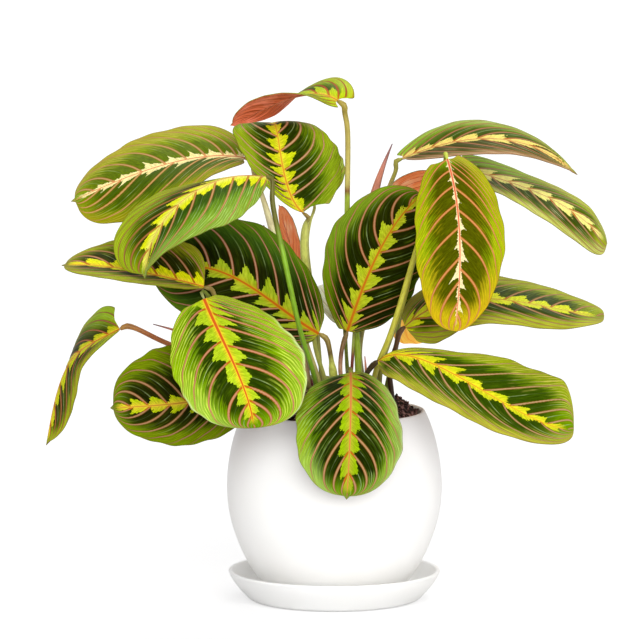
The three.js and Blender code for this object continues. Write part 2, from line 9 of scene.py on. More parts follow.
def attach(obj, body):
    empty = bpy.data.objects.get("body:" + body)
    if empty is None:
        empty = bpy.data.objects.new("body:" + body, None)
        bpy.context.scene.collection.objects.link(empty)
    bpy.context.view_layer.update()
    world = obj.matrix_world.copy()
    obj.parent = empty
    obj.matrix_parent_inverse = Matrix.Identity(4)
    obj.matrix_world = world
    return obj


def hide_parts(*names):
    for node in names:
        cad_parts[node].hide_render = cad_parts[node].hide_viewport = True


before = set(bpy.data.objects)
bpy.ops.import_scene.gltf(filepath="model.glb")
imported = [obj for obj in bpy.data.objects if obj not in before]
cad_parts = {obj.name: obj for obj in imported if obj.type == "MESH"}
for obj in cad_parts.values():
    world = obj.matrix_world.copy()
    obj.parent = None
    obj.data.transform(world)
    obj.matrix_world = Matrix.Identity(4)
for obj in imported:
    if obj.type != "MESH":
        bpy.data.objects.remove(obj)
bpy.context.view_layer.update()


# ------------------------ saucer
# The drip saucer: one turned dish of white glazed earthenware with a flat foot, a flaring
# wall and a rounded lip. It is thrown and glazed with the pot, and stands on the table.
MM = 0.001
TURNED_STEPS = 144
SAUCER_SECTION = [
    (0, 0), (53, 0), (54, 0.03), (57.5, 0.3), (60.2, 1.6), (62.6, 3.9), (67.4, 9.2), (71.4, 14.8),
    (73.3, 18.6), (73.7, 19.6), (73.5, 20.3), (72.7, 20.6), (71.6, 20.5), (70.8, 19.9),
    (70.2, 18.8), (68.2, 15.6), (64, 10.2), (58.9, 6.5), (55, 5.1), (50, 5), (0, 5),
]


def linear(code):
    """An sRGB hex colour as Blender's linear RGBA."""
    parts = [int(code[i:i + 2], 16) / 255 for i in (1, 3, 5)]
    return [c / 12.92 if c <= 0.04045 else ((c + 0.055) / 1.055) ** 2.4 for c in parts] + [1.0]


def add(tree, kind, inputs=None, points=None, **settings):
    """Adds a shader node. An input is a value, a hex colour or another node's output."""
    node = tree.nodes.new("ShaderNode" + kind)
    for key, value in settings.items():
        setattr(node, key, value)
    for key, value in (inputs or {}).items():
        if isinstance(value, bpy.types.NodeSocket):
            tree.links.new(value, node.inputs[key])
        else:
            node.inputs[key].default_value = linear(value) if isinstance(value, str) else value
    if kind == "FloatCurve":
        curve = node.mapping.curves[0]
        curve.points[0].location, curve.points[1].location = points[0], points[-1]
        for place in points[1:-1]:
            curve.points.new(*place)
        for point in curve.points:
            point.handle_type = "VECTOR"
        node.mapping.update()
    if kind == "ValToRGB":
        stops = node.color_ramp.elements
        stops[0].position, stops[0].color = points[0][0], linear(points[0][1])
        stops[1].position, stops[1].color = points[-1][0], linear(points[-1][1])
        for place, code in points[1:-1]:
            stops.new(place).color = linear(code)
    return node.outputs[0] if node.outputs else node


class Finish:
    """A material in the making. Each step adds one node and gives its output."""

    def __init__(self, name):
        self.material = bpy.data.materials.new(name)
        self.material.use_nodes = True
        self.tree = self.material.node_tree
        self.tree.nodes.clear()

    def add(self, kind, inputs=None, points=None, **settings):
        return add(self.tree, kind, inputs, points, **settings)

    def reckon(self, operation, *values):
        return self.add("Math", dict(enumerate(values)), operation=operation)

    def both(self, one, two):
        return self.reckon("MULTIPLY", one, two)

    def ramp(self, value, low, high, first, last, **settings):
        """From first to last as the value passes from low to high."""
        return self.add("MapRange", {0: value, 1: low, 2: high, 3: first, 4: last}, **settings)

    def mask(self, value, low, high, first=0.0, last=1.0):
        return self.ramp(value, low, high, first, last, interpolation_type="SMOOTHSTEP")

    def over(self, share, below, above, **settings):
        return self.add("MixRGB", {0: share, 1: below, 2: above}, **settings)

    def place(self):
        return self.add("TexCoord").node.outputs["Object"]

    def cloud(self, place, scale, detail, **settings):
        return self.add("TexNoise", {"Vector": place, "Scale": scale, "Detail": detail}, **settings)

    def relief(self, height, strength, depth, **on):
        return self.add("Bump", {"Height": height, "Strength": strength, "Distance": depth, **on})

    def done(self, colour, rough, relief, more):
        """The finished material, with this colour, roughness, relief and more on its surface."""
        shader = self.add("BsdfPrincipled", {
            "Base Color": colour, "Roughness": rough, "Normal": relief, **more,
        })
        self.add("OutputMaterial", {"Surface": shader})
        return self.material


def glazed_earthenware(name, body, pooled):
    """White satin glaze over fired clay: a soft broad highlight, a barely uneven skin from
    dipping, and a slightly warmer tone where the glaze lies thicker."""
    glaze = Finish(name)
    place = glaze.place()
    cloud = glaze.cloud(place, 22.0, 3.0)
    # 1.6 mm dimples, the orange-peel of a dipped glaze
    peel = glaze.cloud(place, 620.0, 2.0)
    colour = glaze.over(cloud, body, pooled)
    gloss = glaze.ramp(cloud, 0.3, 0.7, 0.34, 0.46)
    return glaze.done(colour, gloss, glaze.relief(peel, 0.25, 0.00006), {"IOR": 1.5})


def deselect():
    if bpy.context.object and bpy.context.object.mode != "OBJECT":
        bpy.ops.object.mode_set(mode="OBJECT")
    bpy.ops.object.select_all(action="DESELECT")


def close_up(gap, outwards=True):
    """Joins the active piece's points that lie within a gap, and turns its faces outwards."""
    bpy.ops.object.mode_set(mode="EDIT")
    bpy.ops.mesh.select_all(action="SELECT")
    bpy.ops.mesh.remove_doubles(threshold=gap)
    if outwards:
        bpy.ops.mesh.normals_make_consistent(inside=False)
    bpy.ops.object.mode_set(mode="OBJECT")


def joined(pieces):
    """The pieces as one object, the first of them."""
    deselect()
    for piece in pieces:
        piece.select_set(True)
    bpy.context.view_layer.objects.active = pieces[0]
    bpy.ops.object.join()
    return bpy.context.object


def turned(name, section):
    """Spins a section of (radius, height) points in millimetres round the pot's axis."""
    deselect()
    bpy.ops.curve.primitive_bezier_curve_add()
    piece = bpy.context.object
    piece.name = piece.data.name = name
    line = piece.data.splines[0]
    line.bezier_points.add(len(section) - 2)
    for point, (radius, height) in zip(line.bezier_points, section):
        point.co = (radius * MM, 0, height * MM)
        point.handle_left_type = point.handle_right_type = "AUTO"
    for end in (line.bezier_points[0], line.bezier_points[-1]):
        end.handle_left_type = end.handle_right_type = "VECTOR"
    piece.data.resolution_u = 4
    bpy.ops.object.convert(target="MESH")
    bpy.ops.object.mode_set(mode="EDIT")
    bpy.ops.mesh.select_all(action="SELECT")
    bpy.ops.mesh.spin(steps=TURNED_STEPS, angle=2 * math.pi, center=(0, 0, 0), axis=(0, 0, 1))
    close_up(0.02 * MM)
    bpy.ops.object.transform_apply()
    bpy.ops.object.shade_smooth_by_angle(angle=math.radians(45))
    return bpy.context.object


def settle(piece, node=None):
    """The piece rides the plant's one body and stands for its node."""
    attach(piece, "root")
    if node:
        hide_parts(node)


saucer = turned("saucer_glazed", SAUCER_SECTION)
saucer.data.materials.append(glazed_earthenware("glazed_earthenware_saucer", "#FAFAFA", "#F4F3EF"))
settle(saucer, "saucer")


# ------------------------ pot
# The belly pot: thrown white earthenware, widest at mid height, drawn in to a thin rounded
# rim, with a turned foot ring. It is glazed all over and stands loose in the saucer.
POT_SECTION = [
    (0, 7.8), (34, 7.8), (37.2, 7.6), (38.6, 6.4), (39.4, 5.4), (42.6, 5.3), (44.4, 6.3),
    (46.8, 8.4), (54, 16.5), (61, 27.5), (67.8, 42.5), (72.9, 59.5), (74.8, 76.5), (74.2, 91),
    (71.6, 107.5), (67.9, 120.5), (64.2, 129.6), (63.2, 131.6), (62.5, 132.4), (61.6, 132.5),
    (60.8, 132), (60.2, 130.6), (63.9, 120), (67.6, 107), (70.2, 91), (70.8, 76.5), (68.9, 60),
    (63.8, 44), (57, 29.5), (48.5, 18), (41, 12.4), (36, 12), (0, 12),
]

pot = turned("pot_glazed", POT_SECTION)
pot.data.materials.append(glazed_earthenware("glazed_earthenware_pot", "#FCFCFB", "#F8F6F2"))
settle(pot, "pot")


# ------------------------ soil
# Potting soil: a dark peat and bark mix, filled in by hand to a lumpy mound that rises a
# little above the rim, with loose crumbs on top. The stalks come out of it.
SOIL_CROWN = 143.5
SOIL_DROP = 14.5
SOIL_SPREAD = 57
SOIL_RADIUS = 58.5
SOIL_EDGE = 60
SOIL_LUMP = 1.3
SOIL_HEAP = 5.5
HEAP_PLACE = (45, 6)
HEAP_WIDTHS = (12, 22)
SOIL_SIDE = [(58.9, 129), (60.3, 127.5), (63.3, 120), (66.9, 107), (66, 98), (60, 96), (0, 96)]
# The share of the sheet's rows that makes the top, and the share from which it makes the side
TOP_SHARE, SIDE_SHARE = 0.86, 0.861
SOIL_COLUMNS, SOIL_ROWS = 150, 76
CRUMBS = 420


def soil_height(x, y):
    """Height in millimetres of the mound that the stalks stand in."""
    return SOIL_CROWN - SOIL_DROP * (x * x + y * y) / SOIL_SPREAD ** 2


def soil_top(x, y):
    """The mound with its heap to the right, broad lumps, and chunks of about 5 and 2 mm. The
    chunks die away at the pot's wall."""
    lump = math.sin(x * 0.31 + 1.3) * math.sin(y * 0.37 + 0.4)
    lump = lump + 0.6 * math.sin(x * 0.71 - y * 0.53)
    chunk = noise.voronoi((x / 5, y / 5, 0))[0][0] * 2.2
    chunk = chunk + noise.voronoi((x / 2.3, y / 2.3, 7))[0][0]
    fine = noise.fractal((x / 1.6, y / 1.6, 3), 1, 2, 3)
    edge = max(1 - math.hypot(x, y) / SOIL_EDGE, 0)
    heap = SOIL_HEAP * math.exp(-((x - HEAP_PLACE[0]) / HEAP_WIDTHS[0]) ** 2
                                - ((y - HEAP_PLACE[1]) / HEAP_WIDTHS[1]) ** 2) * min(1, edge * 10)
    return (soil_height(x, y) + heap + SOIL_LUMP * lump * edge
            + (chunk - 1.4 + 0.5 * fine) * min(1, edge * 6))


def sheet(name, columns, rows, place):
    """A grid of columns by rows, each vertex put where place(across, along) says, in mm."""
    deselect()
    bpy.ops.mesh.primitive_grid_add(x_subdivisions=columns, y_subdivisions=rows, size=1)
    piece = bpy.context.object
    piece.name = piece.data.name = name
    flat = np.empty(len(piece.data.vertices) * 3)
    piece.data.vertices.foreach_get("co", flat)
    across, along = flat[0::3] + 0.5, flat[1::3] + 0.5
    piece.data.vertices.foreach_set("co", (place(across, along) * MM).ravel())
    piece.data.update()
    return piece


def weld(piece):
    """Closes the seams and the poles of a wrapped grid."""
    close_up(0.004 * MM)
    bpy.ops.object.shade_smooth()
    return piece


def mound(across, along):
    turn = across * 2 * np.pi
    ring = np.minimum(along / TOP_SHARE, 1) * SOIL_RADIUS
    z = np.array([soil_top(x, y) for x, y in zip(ring * np.cos(turn), ring * np.sin(turn))])
    lower = along > SIDE_SHARE
    way = np.interp(along, np.linspace(SIDE_SHARE, 1, len(SOIL_SIDE)), range(len(SOIL_SIDE)))
    side_r, side_z = (np.interp(way, range(len(SOIL_SIDE)), part) for part in zip(*SOIL_SIDE))
    ring = np.where(lower, side_r, ring)
    return np.stack([ring * np.cos(turn), ring * np.sin(turn), np.where(lower, side_z, z)], 1)


def peat_and_bark(name):
    """Moist peat: near black, matt, with reddish brown fibres and a few dry pale flecks."""
    peat = Finish(name)
    place = peat.place()
    # 3 mm clods and 0.5 mm fibres
    clod = peat.add("TexVoronoi", {"Vector": place, "Scale": 330.0})
    fibre = peat.cloud(place, 1400.0, 4.0)
    fibre.node.inputs["Roughness"].default_value = 0.7
    colour = peat.add("ValToRGB", {0: peat.both(clod, fibre)}, points=[
        (0.0, "#080404"), (0.19, "#180B0A"), (0.29, "#4E2E2A"), (0.4, "#AC827C"), (1.0, "#DCBCB8"),
    ])
    rough = peat.ramp(fibre, 0.0, 1.0, 0.75, 1.0)
    return peat.done(colour, rough, peat.relief(fibre, 0.7, 0.0006), {"Specular IOR Level": 0.3})


peat = peat_and_bark("moist_peat")
soil = weld(sheet("soil_mound", SOIL_COLUMNS, SOIL_ROWS, mound))
soil.data.materials.append(peat)
settle(soil, "soil")

# Crumbs of peat and bark, modelled once and strewn over the mound
random.seed(31)
deselect()
bpy.ops.mesh.primitive_ico_sphere_add(subdivisions=1, radius=MM)
crumb = bpy.context.object
strewn = []
for i in range(CRUMBS):
    copy = crumb.copy()
    copy.data = crumb.data.copy()
    for vertex in copy.data.vertices:
        vertex.co *= random.uniform(0.7, 1.25)
    bpy.context.scene.collection.objects.link(copy)
    turn, ring = random.uniform(0, 2 * math.pi), SOIL_SPREAD * math.sqrt(random.random())
    x, y = ring * math.cos(turn), ring * math.sin(turn)
    # One crumb in nine is a bigger piece of bark
    wide = random.uniform(0.7, 1.9) if i % 9 else random.uniform(2, 2.7)
    copy.scale = (wide * random.uniform(1, 1.7), wide, wide * random.uniform(0.5, 0.9))
    copy.rotation_euler = Euler([random.uniform(0, 6.3) for _ in range(3)])
    copy.location = (x * MM, y * MM, (soil_top(x, y) + 0.2 * wide) * MM)
    strewn.append(copy)
bpy.data.objects.remove(crumb)
crumbs = joined(strewn)
crumbs.name = crumbs.data.name = "soil_crumbs"
bpy.ops.object.transform_apply()
crumbs.data.materials.append(peat)
settle(crumbs)


# ------------------------ leaf blades
# Twenty-three leaf blades of the red-veined maranta: thin oval sheets, pleated along the
# side veins, held by the midrib that stands out below. Each grows from its own stalk.
BLADE_COLUMNS = 44
BLADE_ROWS = 100
BLADE_THICKNESS = 0.45
PLEAT = 0.35
MARGIN_RIPPLE = 0.016
KEEL_DEPTH = 1.3
KEEL_LENGTH = 0.93
KEEL_SIDES = 8
KEEL_ROWS = 40


def unit(v):
    return v / np.linalg.norm(v, axis=-1, keepdims=True)


def smooth(low, high, x):
    t = np.clip((x - low) / (high - low), 0, 1)
    return t * t * (3 - 2 * t)


class Line:
    """A line through many points, measured along its length."""

    def __init__(self, points):
        self.points = points
        steps = np.linalg.norm(np.diff(points, axis=0), axis=1)
        self.length = steps.sum()
        self.share = np.concatenate([[0], np.cumsum(steps)]) / self.length

    def at(self, s, values=None):
        """The point at share s of the length, or the value there."""
        values = self.points if values is None else values
        return np.stack([np.interp(s, self.share, values[:, k]) for k in range(3)], -1)


class Midrib(Line):
    """A cubic through the four midrib points at thirds."""

    def __init__(self, points):
        p = np.array(points, float)
        one = -5 / 6 * p[0] + 3 * p[1] - 1.5 * p[2] + p[3] / 3
        two = p[0] / 3 - 1.5 * p[1] + 3 * p[2] - 5 / 6 * p[3]
        t = np.linspace(0, 1, 401)[:, None]
        super().__init__((1 - t) ** 3 * p[0] + 3 * (1 - t) ** 2 * t * one
                         + 3 * (1 - t) * t ** 2 * two + t ** 3 * p[3])
        self.way = 3 * ((1 - t) ** 2 * (one - p[0]) + 2 * (1 - t) * t * (two - one)
                        + t ** 2 * (p[3] - two))

    def along(self, s):
        return unit(self.at(s, self.way))


def half(width, skew=0.92, blunt=0.5, fold=(8, 8), curl=(-20, -20), lobe=0.02, tip=None, wave=0):
    """One side of a blade. Width in mm; a skew over 1 moves the widest place to the tip; the
    lower blunt and tip, the rounder the two ends; fold and curl in degrees, at the blade's base
    and at its tip; the lobe behind the base as a share of the length; wave in mm."""
    return dict(width=width, skew=skew, blunt=blunt, fold=fold, curl=curl, lobe=lobe,
                tip=blunt if tip is None else tip, wave=wave)


def each_side(blade, u, key, s=None):
    """A side's value, left where u is below 0. A pair runs from the base to the tip."""
    left, right = blade["left"][key], blade["right"][key]
    if s is not None:
        left, right = left[0] + (left[1] - left[0]) * s, right[0] + (right[1] - right[0]) * s
    return np.where(u < 0, left, right)


def breadth(s, skew, blunt, tip, point):
    """Half-width as a share of the widest: rounded base, and a rounded or a pointed tip."""
    body = np.sin(np.pi * np.clip(s / np.where(point, 0.975, 0.995), 0, 1) ** skew)
    body = np.maximum(body, 0) ** np.where(s ** skew < 0.5, blunt, tip)
    return np.where(point & (s > 0.9), np.maximum(body, np.minimum(2.2 * (1 - s), 0.07)), body)


def blade_point(blade, rib, s, u):
    """The blade's middle surface at share s of its length and u across, -1 left to 1 right."""
    along = rib.along(s)
    base = np.array(blade["face"], float)
    base, tip = unit(base), unit(np.array(blade.get("face_tip", base), float))
    up = base * (1 - s)[:, None] + tip * s[:, None]
    up = unit(up - along * (up * along).sum(1)[:, None])
    across = np.cross(along, up)
    a = np.abs(u)
    share = breadth(s, *(each_side(blade, u, key) for key in ("skew", "blunt", "tip")),
                    blade.get("point", True))
    turn = 40 * rib.length + np.where(u < 0, 2, 0)
    ripple = np.sin(19 * s + turn) + 0.7 * np.sin(43 * s + 2 * turn)
    share = share * (1 + MARGIN_RIPPLE * a * a * ripple)
    wide = each_side(blade, u, "width") * share
    fold = np.radians(each_side(blade, u, "fold", s))
    curl = np.radians(each_side(blade, u, "curl", s))
    out = wide * (np.sin(fold + curl * a) - np.sin(fold)) / curl
    rise = -wide * (np.cos(fold + curl * a) - np.cos(fold)) / curl
    beat = 2 * np.pi * (blade.get("waves", 0) * s + np.where(u < 0, 0.3, 0)) + blade.get("phase", 0)
    rise = rise + each_side(blade, u, "wave") * a * a * share * np.sin(beat)
    lobe = -each_side(blade, u, "lobe") * rib.length * a * a * (1 - s) ** 6 * smooth(0, 0.02, s)
    return (rib.at(s) + across * (np.sign(u) * out)[:, None] + up * rise[:, None]
            + along * lobe[:, None]), up, across, wide


# Where the side veins of the left and the right half leave the midrib, as shares of its
# length, and how they bow in each half: lean, bend, and what both gain towards the tip
VEINS = (
    [.06, .17, .29, .42, .56, .7, .83], [.08, .19, .31, .44, .58, .72, .85],
    (0.18, 0.22, 0.2, 0.2), (0.18, 0.22, 0.2, 0.2),
)


def vein_count(blade, s, u):
    """A count that is a whole number on each side vein, from the midrib aslant to the margin."""
    veins = blade.get("veins", VEINS)
    a = np.abs(u)
    counts = []
    for starts, (lean, bend, lean_gain, bend_gain) in zip(veins[:2], veins[2:]):
        first, last = starts[1] - starts[0], starts[-1] - starts[-2]
        starts = ([starts[0] - first * k for k in (6, 5, 4, 3, 2, 1)] + starts
                  + [starts[-1] + last * k for k in (1, 2, 3)])
        start = (s - lean * a - bend * a ** 3) / (1 + lean_gain * a + bend_gain * a ** 3)
        counts.append(np.interp(start, starts, range(len(starts))))
    return np.where(u < 0, *counts)


# The band's edge from one side vein to the next, as shares of a tooth: full lobes or a strip
LOBED = [
    (0, 0.34), (0.07, 0.42), (0.12, 0.36), (0.25, 0.68), (0.29, 0.62), (0.41, 0.96), (0.44, 0.88),
    (0.5, 1), (0.54, 0.72), (0.6, 0.76), (0.65, 0.32), (0.72, 0.36), (0.82, 0.06), (1, 0),
]
STRIP = [
    (0, 0), (0.2, 0.1), (0.34, 0.3), (0.4, 0.24), (0.5, 0.6), (0.56, 1), (0.6, 0.5), (0.68, 0.3),
    (0.74, 0.02), (1, 0),
]
TONES = dict(
    ground=("outer", "margin"), lines=("streak", "streaks"), blotches=("blotch", "shade", "reach"),
    lime=("band", "band_deep"), lobes=("valley", "tooth"), flesh=("vein", "vein_edge"),
    rib=("midrib", "midrib_edge", "midrib_width"),
)


def tones(**given):
    """A leaf's looks. What comes as a group is spread over its own names, in their order."""
    look = {}
    for key, value in given.items():
        look.update(zip(TONES[key], value) if key in TONES else {key: value})
    return look


# Widths, valley and tooth in mm, the rest as shares. A wash is a tint, its strength, and where
# it starts and where it is full, along the blade and out from the midrib. Some washes are the
# leaf's own flush of gold or lime; the others are painted sheen, pale highlights painted where
# light glances off the blade
LEAF_LOOK = tones(
    ground=("#6E9408", "#9AB010"), lines=("#BCD638", 0.6), blotches=("#1C3206", "#3C5C02", 0.5),
    lime=("#C4DC10", "#8DB20C"), lobes=(4.5, 7), even=0.6, teeth=LOBED,
    taper=((0, 0.75), (0.06, 0.95), (0.2, 1), (0.55, 0.9), (0.8, 0.7), (0.92, 0.45), (1, 0.1)),
    flesh=("#BA7E58", "#8A4218"), vein_width=1.85, vein_end=0.25, band_vein="#BC6010",
    rib=("#D8682A", "#E6B83A", 1.5), second="#A8C080", seconds=0.4, washes=(),
)


def laid(finish):
    """From a blade's maps: the share along it, the share out from the midrib, the count of side
    veins, and how near the nearest of them is."""
    lay, count = (finish.add("SeparateXYZ", {0: finish.add("UVMap", uv_map=name)})
                  for name in ("surface", "veins"))
    out = finish.reckon("ABSOLUTE", finish.reckon("MULTIPLY_ADD", lay, 2.0, -1.0))
    return lay.node.outputs[1], out, count, finish.reckon("PINGPONG", count, 0.5)


def maranta_leaf(name, look):
    """Upper side of a living maranta leaf, satin and faintly pleated. Salmon side veins and a
    red midrib, a toothed lime band, dark blotches between the veins, and a green margin."""
    skin = Finish(name)
    mask, both, over, reckon, cloud = skin.mask, skin.both, skin.over, skin.reckon, skin.cloud
    along, out, count, near = laid(skin)
    midway = count.node.outputs[1]
    gap = skin.add("SeparateXYZ", {0: skin.add("UVMap", uv_map="gaps")})
    turn = reckon("FRACT", count)
    place = skin.place()

    # Fibres: nine to an interval of about 12 mm, long in the direction of the veins
    run = skin.add("CombineXYZ", {0: count, 1: both(out, 0.3)})
    fibre = cloud(run, 9.0, 2.0, noise_dimensions="2D")
    patches = cloud(place, 45.0, 2.0)

    # Ground colour: green, paler and yellower toward the margin, with fine pale lines outside
    green = over(mask(out, 0.5, 0.98), look["outer"], look["margin"])
    green = over(mask(patches, 0.35, 0.7, 0.0, 0.35), green, look["shade"])
    lines = reckon("PINGPONG", reckon("MULTIPLY_ADD", count, 5.0, both(fibre, 1.2)), 0.5)
    streak = both(mask(lines, 0.08, 0.26, 1.0, 0.0), mask(out, 0.28, 0.55, 0.0, look["streaks"]))
    streak = both(streak, mask(fibre, 0.33, 0.5))
    green = over(streak, green, look["streak"])

    # Dark blotches, ragged outwards along the fibres
    ragged = reckon("SUBTRACT", out, reckon("MULTIPLY_ADD", fibre, 0.5, look["reach"] - 0.25))
    inside = both(mask(along, 0.01, 0.1), mask(along, 0.8, 0.95, 1.0, 0.0))
    green = over(both(mask(ragged, 0.03, 0.18, 0.8, 0.0), inside), green, look["shade"])
    blotch = over(mask(fibre, 0.42, 0.75, 0.0, 0.45), look["blotch"], look["shade"])
    green = over(both(mask(ragged, -0.08, 0.04, 1.0, 0.0), inside), green, blotch)
    green = over(both(streak, mask(patches, 0.42, 0.6, 0.0, 0.7)), green, look["streak"])
    # Washes: the leaf's own flush of gold or lime, or painted sheen, a pale highlight painted where
    # light glances off the blade
    for tint, share, s_from, s_to, a_from, a_to in look["washes"]:
        patch = both(mask(along, s_from, s_to), mask(out, a_from, a_to, 0.0, share))
        green = over(both(patch, mask(patches, 0.2, 0.5, 0.6, 1.0)), green, tint)

    # The toothed band along the midrib: each lobe widens to its tooth, then falls back
    taper = skin.add("FloatCurve", {"Value": along}, points=look["taper"])
    # No two teeth are quite the same length
    which = reckon("FLOOR", reckon("ADD", count, sum(map(ord, name)) % 89))
    chance = skin.add("TexWhiteNoise", {"W": which}, noise_dimensions="1D")
    height = mask(chance, 0.0, 1.0, look["even"] * look["tooth"], look["tooth"] * 1.2)
    tooth = skin.add("FloatCurve", {"Value": turn}, points=look["teeth"])
    lobe = both(reckon("MULTIPLY_ADD", tooth, height, look["valley"]), taper)
    notch = mask(cloud(place, 700.0, 1.0), 0.35, 0.65, -0.45, 0.45)
    beyond = reckon("ADD", notch, reckon("SUBTRACT", midway, lobe))
    band = both(mask(beyond, -0.25, 0.15, 1.0, 0.0), mask(along, 0.9, 0.98, 1.0, 0.0))
    # A thin pale secondary vein from each tooth outwards
    middle = both(reckon("ABSOLUTE", reckon("SUBTRACT", turn, 0.5)), gap)
    thin = both(mask(middle, 0.15, 0.42, look["seconds"], 0.0), mask(out, 0.5, 0.8, 1.0, 0.0))
    thin = both(thin, mask(patches, 0.45, 0.6, 0.1, 1.0))
    green = over(thin, green, look["second"])
    lime = over(mask(fibre, 0.35, 0.65, 0.0, 0.55), look["band"], look["band_deep"])
    lime = over(mask(midway, 1.0, 4.5, 0.45, 0.0), lime, look["midrib_edge"])
    green = over(band, green, lime)

    # The satin of the cells, in hair-fine lines along the fibres
    satin = mask(cloud(run, 34.0, 2.0, noise_dimensions="2D"), 0.3, 0.7, 0.72, 1.2)
    green = over(1.0, green, satin, blend_type="MULTIPLY")

    # Side veins: salmon with a dark red edge, thin and orange within the band
    width = mask(out, 0.3, 1.0, look["vein_width"] / 2, look["vein_width"] * 0.22)
    width = both(width, mask(beyond, -2.0, 1.0, 0.8, 1.0))
    off = reckon("DIVIDE", both(near, gap), reckon("MINIMUM", width, both(gap, 0.13)))
    fade = mask(out, 0.8, 0.99, 1.0, look["vein_end"])
    green = over(both(mask(off, 0.85, 1.25, 0.85, 0.0), fade), green, look["vein_edge"])
    flesh = over(band, look["vein"], look["band_vein"])
    green = over(both(mask(off, 0.4, 0.8, 1.0, 0.0), fade), green, flesh)

    # Midrib, tapering from base to tip, and the thin dark rim
    thick = mask(along, 0.0, 1.0, look["midrib_width"] / 2, look["midrib_width"] * 0.2)
    ends = mask(along, 0.9, 0.97, 1.0, 0.0)
    rib = reckon("DIVIDE", midway, thick)
    green = over(both(mask(rib, 1.0, 2.0, 0.8, 0.0), ends), green, look["midrib_edge"])
    green = over(both(mask(rib, 0.6, 1.1, 1.0, 0.0), ends), green, look["midrib"])
    green = over(mask(gap.node.outputs[1], 0.15, 0.6, 0.6, 0.0), green, "#5A4A12")

    # 0.8 mm cells of the skin
    cells = skin.relief(cloud(place, 1300.0, 1.0), 0.3, 0.00012)
    ridge = skin.relief(fibre, 0.35, 0.0003, Normal=cells)
    return skin.done(green, mask(patches, 0.3, 0.7, 0.36, 0.48), ridge, {
        "Specular IOR Level": 0.08, "Specular Tint": "#D8D040",
    })


def maranta_underside(name, flesh, deep, vein, bloom, glow=0.0):
    """Underside of the leaf: wine to coral red, matt, with a paler bloom in clouds. The glow is
    painted light: the red itself emitted, standing in for the light that comes through a blade
    lit from its other side."""
    skin = Finish(name)
    _, out, count, near = laid(skin)
    run = skin.add("CombineXYZ", {0: count, 1: skin.both(out, 0.3)})
    fibre = skin.cloud(run, 7.0, 2.0, noise_dimensions="2D")
    red = skin.over(skin.ramp(fibre, 0.35, 0.65, 0.1, 0.8), flesh, deep)
    clouds = skin.cloud(skin.place(), 60.0, 2.0)
    red = skin.over(skin.ramp(clouds, 0.48, 0.62, 0.0, 0.65), red, bloom)
    red = skin.over(skin.mask(near, 0.03, 0.07, 0.8, 0.0), red, vein)
    return skin.done(red, 0.6, skin.relief(fibre, 0.5, 0.0004), {
        "Specular IOR Level": 0.08, "Emission Color": red, "Emission Strength": glow,
    })


def stalk_skin(name, colours):
    """A living petiole: smooth, a little glossy, with fine lengthwise lines."""
    skin = Finish(name)
    lay = skin.add("SeparateXYZ", {0: skin.add("UVMap", uv_map="surface")})
    along = lay.node.outputs[1]
    colour = skin.add("ValToRGB", {0: along}, points=colours)
    run = skin.add("CombineXYZ", {0: lay, 1: skin.both(along, 3.0)})
    line = skin.cloud(run, 9.0, 2.0, noise_dimensions="2D")
    darker = skin.over(1.0, colour, "#B4A890", blend_type="MULTIPLY")
    colour = skin.over(skin.ramp(line, 0.4, 0.7, 0.0, 0.45), colour, darker)
    return skin.done(colour, 0.42, skin.relief(line, 0.4, 0.0003), {"Specular IOR Level": 0.35})


# The last number, where there is one, is a painted glow: the underside's red emitted, standing in
# for light that comes through the blade
UNDERSIDES = {
    tint: maranta_underside("maranta_underside_" + tint, *parts) for tint, *parts in (
        ("wine", "#6E3A2A", "#3E1A16", "#8A4A3A", "#7A4238"),
        ("coral", "#FF9E5C", "#D8541C", "#A83610", "#FFC494", 0.2),
        ("rust", "#F07C58", "#A84818", "#7A2A08", "#FF9478"),
        ("amber", "#FFD058", "#F4A428", "#D8801C", "#FFC040", 0.3),
    )
}
KEELS = {
    tint: stalk_skin("midrib_" + tint, [(0.0, base), (1.0, tip)]) for tint, base, tip in (
        ("wine", "#9A5A44", "#7A3428"), ("coral", "#F0A070", "#D86A44"),
        ("rust", "#D8885C", "#A84C24"), ("amber", "#F4C868", "#E89C34"),
    )
}
MIDRIBS = {}


def keel(name, blade, rib, skin):
    """The midrib below the blade: a tapering cord half sunk in it, thickest at the stalk."""

    def place(across, along):
        middle = np.full_like(along, 1e-4)
        point, up, aside, _ = blade_point(blade, rib, KEEL_LENGTH * along, middle)
        thick = KEEL_DEPTH * (1 - 0.75 * along)
        end = smooth(0, 0.03, along) * (1 - smooth(0.96, 1, along))
        angle = across * 2 * np.pi
        drop = np.sin(angle) * np.where(across < 0.5, thick, 0.1) * end
        return point + aside * (0.6 * thick * end * np.cos(angle))[:, None] - up * drop[:, None]

    cord = sheet("keel_" + name, KEEL_SIDES, KEEL_ROWS, place)
    cord.data.uv_layers[0].name = "surface"
    cord.data.materials.append(skin)
    return weld(cord)


